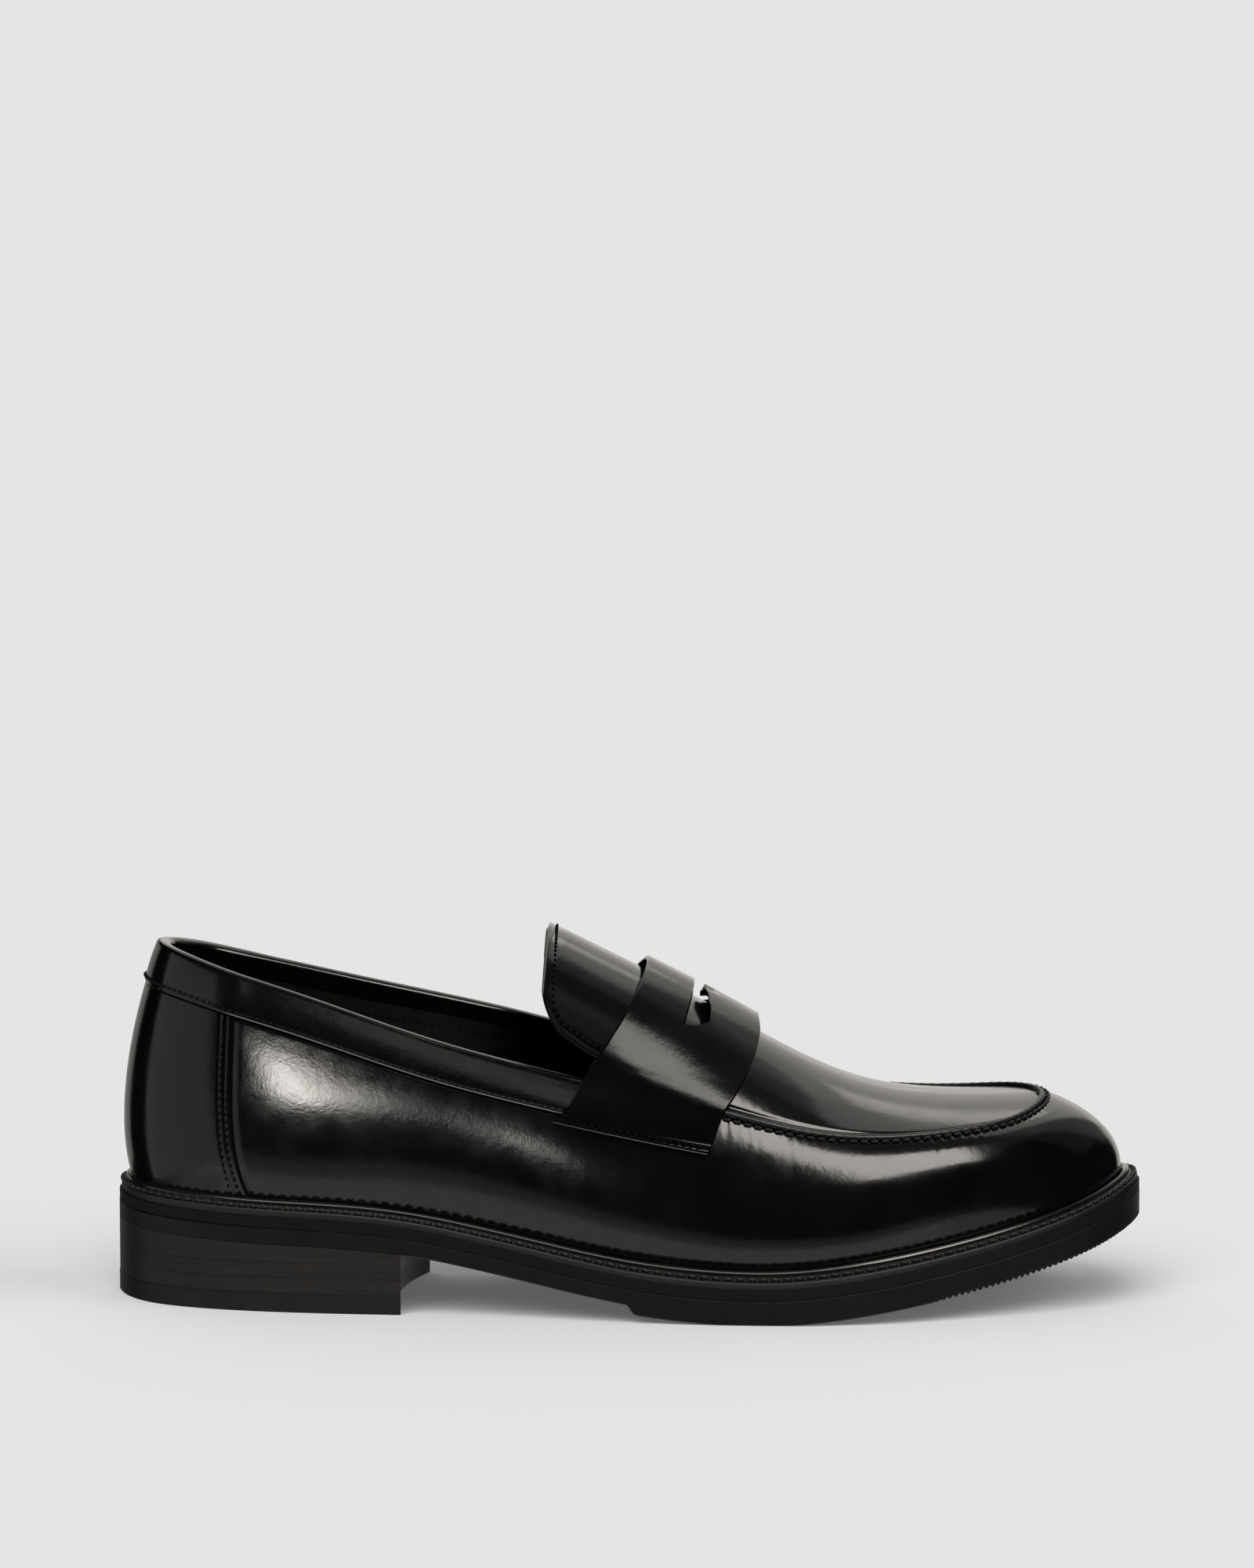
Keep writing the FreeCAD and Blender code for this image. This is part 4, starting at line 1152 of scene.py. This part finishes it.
# ---- hidden parts keep their CAD shape
HIDDEN = {
    "cork_filler": ("cork_grain", (0.35, 0.22, 0.12), (0.55, 0.38, 0.23), 0.85, 500.0),
    "shank": ("shank_steel", (0.45, 0.46, 0.48), (0.6, 0.61, 0.63), 0.35, 900.0, 1.0),
    "heel_nails": ("nail_steel", (0.3, 0.31, 0.32), (0.5, 0.5, 0.52), 0.4, 1500.0, 1.0),
    "insole_board": ("insole_board_fibre", (0.33, 0.24, 0.16), (0.42, 0.32, 0.22), 0.8, 800.0),
    "heel_pad": ("heel_pad_foam", (0.05, 0.05, 0.055), (0.09, 0.09, 0.095), 0.8, 1200.0),
    "heel_stiffener": ("stiffener_board", (0.2, 0.16, 0.12), (0.28, 0.23, 0.18), 0.8, 700.0),
    "toe_puff": ("toe_puff_board", (0.2, 0.16, 0.12), (0.28, 0.23, 0.18), 0.8, 700.0),
}


def hidden_parts():
    looks = {node: plain_core(*values) for node, values in HIDDEN.items()}
    looks["apron_lining"] = LINING
    for node, look in looks.items():
        for material_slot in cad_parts[node].material_slots:
            material_slot.material = look


# ---- floor, light and camera
PALE = 0.783
GLOW_SHARE = 0.13
FLOOR_WHITE = 0.8
FLOOR_REACH = 6.0
WARM = (1.04, 1.0, 0.94)
SHOE_MIDDLE = Vector((0.02, -0.02, 0.06))
QUARTER_MIDDLE = Vector((-0.085, -0.035, 0.055))


def floor():
    corners = [(x * FLOOR_REACH, y * FLOOR_REACH, 0) for x, y in ((-1, -1), (1, -1), (1, 1), (-1, 1))]
    mesh = bpy.data.meshes.new("floor")
    mesh.from_pydata(corners, [], [(0, 1, 2, 3)])
    plane = new_object("floor", mesh)
    look = bpy.data.materials.new("pale_floor")
    look.use_nodes = True
    nodes, link = look.node_tree.nodes, look.node_tree.links.new
    nodes.clear()
    glow = nodes.new("ShaderNodeEmission")
    glow.inputs["Strength"].default_value = PALE * GLOW_SHARE
    dull = nodes.new("ShaderNodeBsdfDiffuse")
    dull.inputs["Color"].default_value = (FLOOR_WHITE, FLOOR_WHITE, FLOOR_WHITE, 1)
    both = nodes.new("ShaderNodeAddShader")
    link(glow.outputs[0], both.inputs[0])
    link(dull.outputs[0], both.inputs[1])
    link(both.outputs[0], nodes.new("ShaderNodeOutputMaterial").inputs["Surface"])
    mesh.materials.append(look)
    plane.visible_glossy = False
    plane.visible_shadow = False
    plane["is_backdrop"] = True
    return plane


def aim(item, place, target):
    item.location = place
    item.rotation_euler = (target - place).to_track_quat("-Z", "Y").to_euler()


def softbox(name, target, azimuth, elevation, distance, width, height, radiance, receivers):
    """A soft box that lights only the given pieces; azimuth 0 is in front, positive to the toe's side."""
    light = bpy.data.lights.new(name, "AREA")
    light.shape = "RECTANGLE"
    light.size, light.size_y = width, height
    light.energy = math.pi * width * height * radiance
    light.color = WARM
    item = new_object(name, light)
    turn, climb = math.radians(azimuth), math.radians(elevation)
    away = Vector((math.sin(turn) * math.cos(climb), -math.cos(turn) * math.cos(climb), math.sin(climb)))
    aim(item, target + away * distance, target)
    item.light_linking.receiver_collection = receivers
    item.visible_camera = False
    return item


def group_of(name, items):
    group = bpy.data.collections.new(name)
    for item in items:
        group.objects.link(item)
    return group


def pieces_named(*starts):
    return [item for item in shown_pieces() if item.name.startswith(starts)]


def pieces_except(*starts):
    return [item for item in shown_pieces() if not item.name.startswith(starts)]


def shoe_lights():
    """Soft boxes that the polished leather mirrors, each kept to the pieces it shows on."""
    middle, quarter = SHOE_MIDDLE, QUARTER_MIDDLE
    whole = group_of("lit_shoe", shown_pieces())
    strap_group = group_of("lit_strap", pieces_named("saddle_strap"))
    tongue_group = group_of("lit_tongue", pieces_named("tongue"))
    keyed = group_of("lit_by_key", pieces_except("tongue", "saddle_strap"))
    above = group_of("lit_above", pieces_except("vamp_leather"))
    collar_group = group_of("lit_collar", pieces_named("collar"))
    welt_group = group_of("lit_welt", pieces_named("welt"))
    vamp_group = group_of("lit_vamp", pieces_named("vamp_leather"))
    edges = group_of("lit_edges", pieces_named("collar", "saddle_strap"))
    heel_group = group_of("lit_heel", pieces_named("heel_top", "heel_board"))
    for box in (
            ("key_box", middle, 30, 48, 1.4, 0.62, 0.8, 8.5, keyed),
            ("strap_key_box", middle, 34, 52, 1.4, 0.7, 0.32, 4.5, strap_group),
            ("tongue_box", middle, 30, 45, 1.4, 1.2, 0.9, 0.2, tongue_group),
            ("welt_key_box", middle, -5, 45, 1.4, 1.8, 0.5, 3.5, welt_group),
            ("collar_box", middle, -12, 18, 1.4, 0.4, 0.26, 0.7, collar_group),
            ("edge_glint_box", middle, -8, -44, 1.2, 1.8, 1.0, 3.0, edges),
            ("low_front_box", quarter, -23, 4, 0.5, 0.055, 0.07, 25.0, vamp_group),
            ("low_front_side_box", quarter, -17, 2.5, 0.5, 0.08, 0.045, 9.0, vamp_group),
            ("left_fill_box", middle, -72, -3, 1.5, 1.7, 1.4, 0.48, whole),
            ("heel_front_box", middle, -15, -10, 1.5, 1.5, 0.9, 0.8, heel_group),
            ("back_left_box", middle, -152, -2, 1.8, 1.0, 0.8, 0.35, whole),
            ("horizon_box", middle, 168, -1, 1.8, 1.5, 0.75, 0.85, whole),
            ("top_fill_box", middle, 90, 80, 1.6, 2.0, 2.0, 0.1, whole),
            ("toe_side_box", middle, 122, 34, 1.7, 1.2, 1.1, 0.22, above),
            ("toe_cap_box", middle, 122, 34, 1.7, 1.2, 1.1, 0.07, vamp_group),
            ("floor_bounce_box", middle, 0, -38, 1.2, 2.0, 0.7, 0.25, whole),
            ("under_floor_box", middle, 0, -90, 0.9, 3.0, 3.0, 0.5, whole),
            ("backdrop_box", middle, 174, 42, 2.1, 1.8, 2.7, 0.75, whole),
            ("backdrop_wide_box", middle, 163, 42, 2.2, 2.6, 2.7, 0.15, whole),
            ("backdrop_heart_box", middle, 164, 38, 2.0, 0.5, 0.4, 1.2, whole)):
        softbox(*box)


def floor_light(name, place, spread, share, ground):
    """A broad sun that lights only the floor, at a share of the light the open floor needs."""
    sun = bpy.data.lights.new(name, "SUN")
    sun.angle = math.radians(spread)
    sun.energy = share * PALE * (1 - GLOW_SHARE) / FLOOR_WHITE * math.pi / place.normalized().z
    item = new_object(name, sun)
    aim(item, place, Vector((0, 0, 0)))
    item.light_linking.receiver_collection = ground


def lights(plane):
    shoe_lights()
    ground = group_of("lit_floor", [plane])
    floor_light("floor_front_light", Vector((-0.25, -0.8, 1.1)), 60, 0.63, ground)
    floor_light("floor_back_light", Vector((-0.2, 0.8, 1.0)), 60, 0.18, ground)
    floor_light("floor_toe_light", Vector((1.0, -0.3, 0.6)), 50, 0.19, ground)
    world = bpy.data.worlds.new("pale_room")
    bpy.context.scene.world = world
    world.use_nodes = True
    world.node_tree.nodes["Background"].inputs["Color"].default_value = (PALE, PALE, PALE, 1)
    world.cycles_visibility.diffuse = False
    world.cycles_visibility.glossy = False
    bpy.context.scene.view_settings.view_transform = "Standard"


def camera():
    data = bpy.data.cameras.new("camera")
    data.lens = 148.86
    data.sensor_width = 36.0
    item = new_object("camera", data)
    item.location = (-0.0005, -1.8746, 0.3633)
    item.rotation_euler = (math.radians(83.5), 0, 0)
    bpy.context.scene.camera = item


def build():
    midsole()
    outsole()
    welt()
    heel()
    vamp()
    counter()
    collar()
    topline_stitches()
    linings()
    sock()
    apron()
    seam()
    tongue()
    strap()
    hidden_parts()
    camera()
    lights(floor())


build()
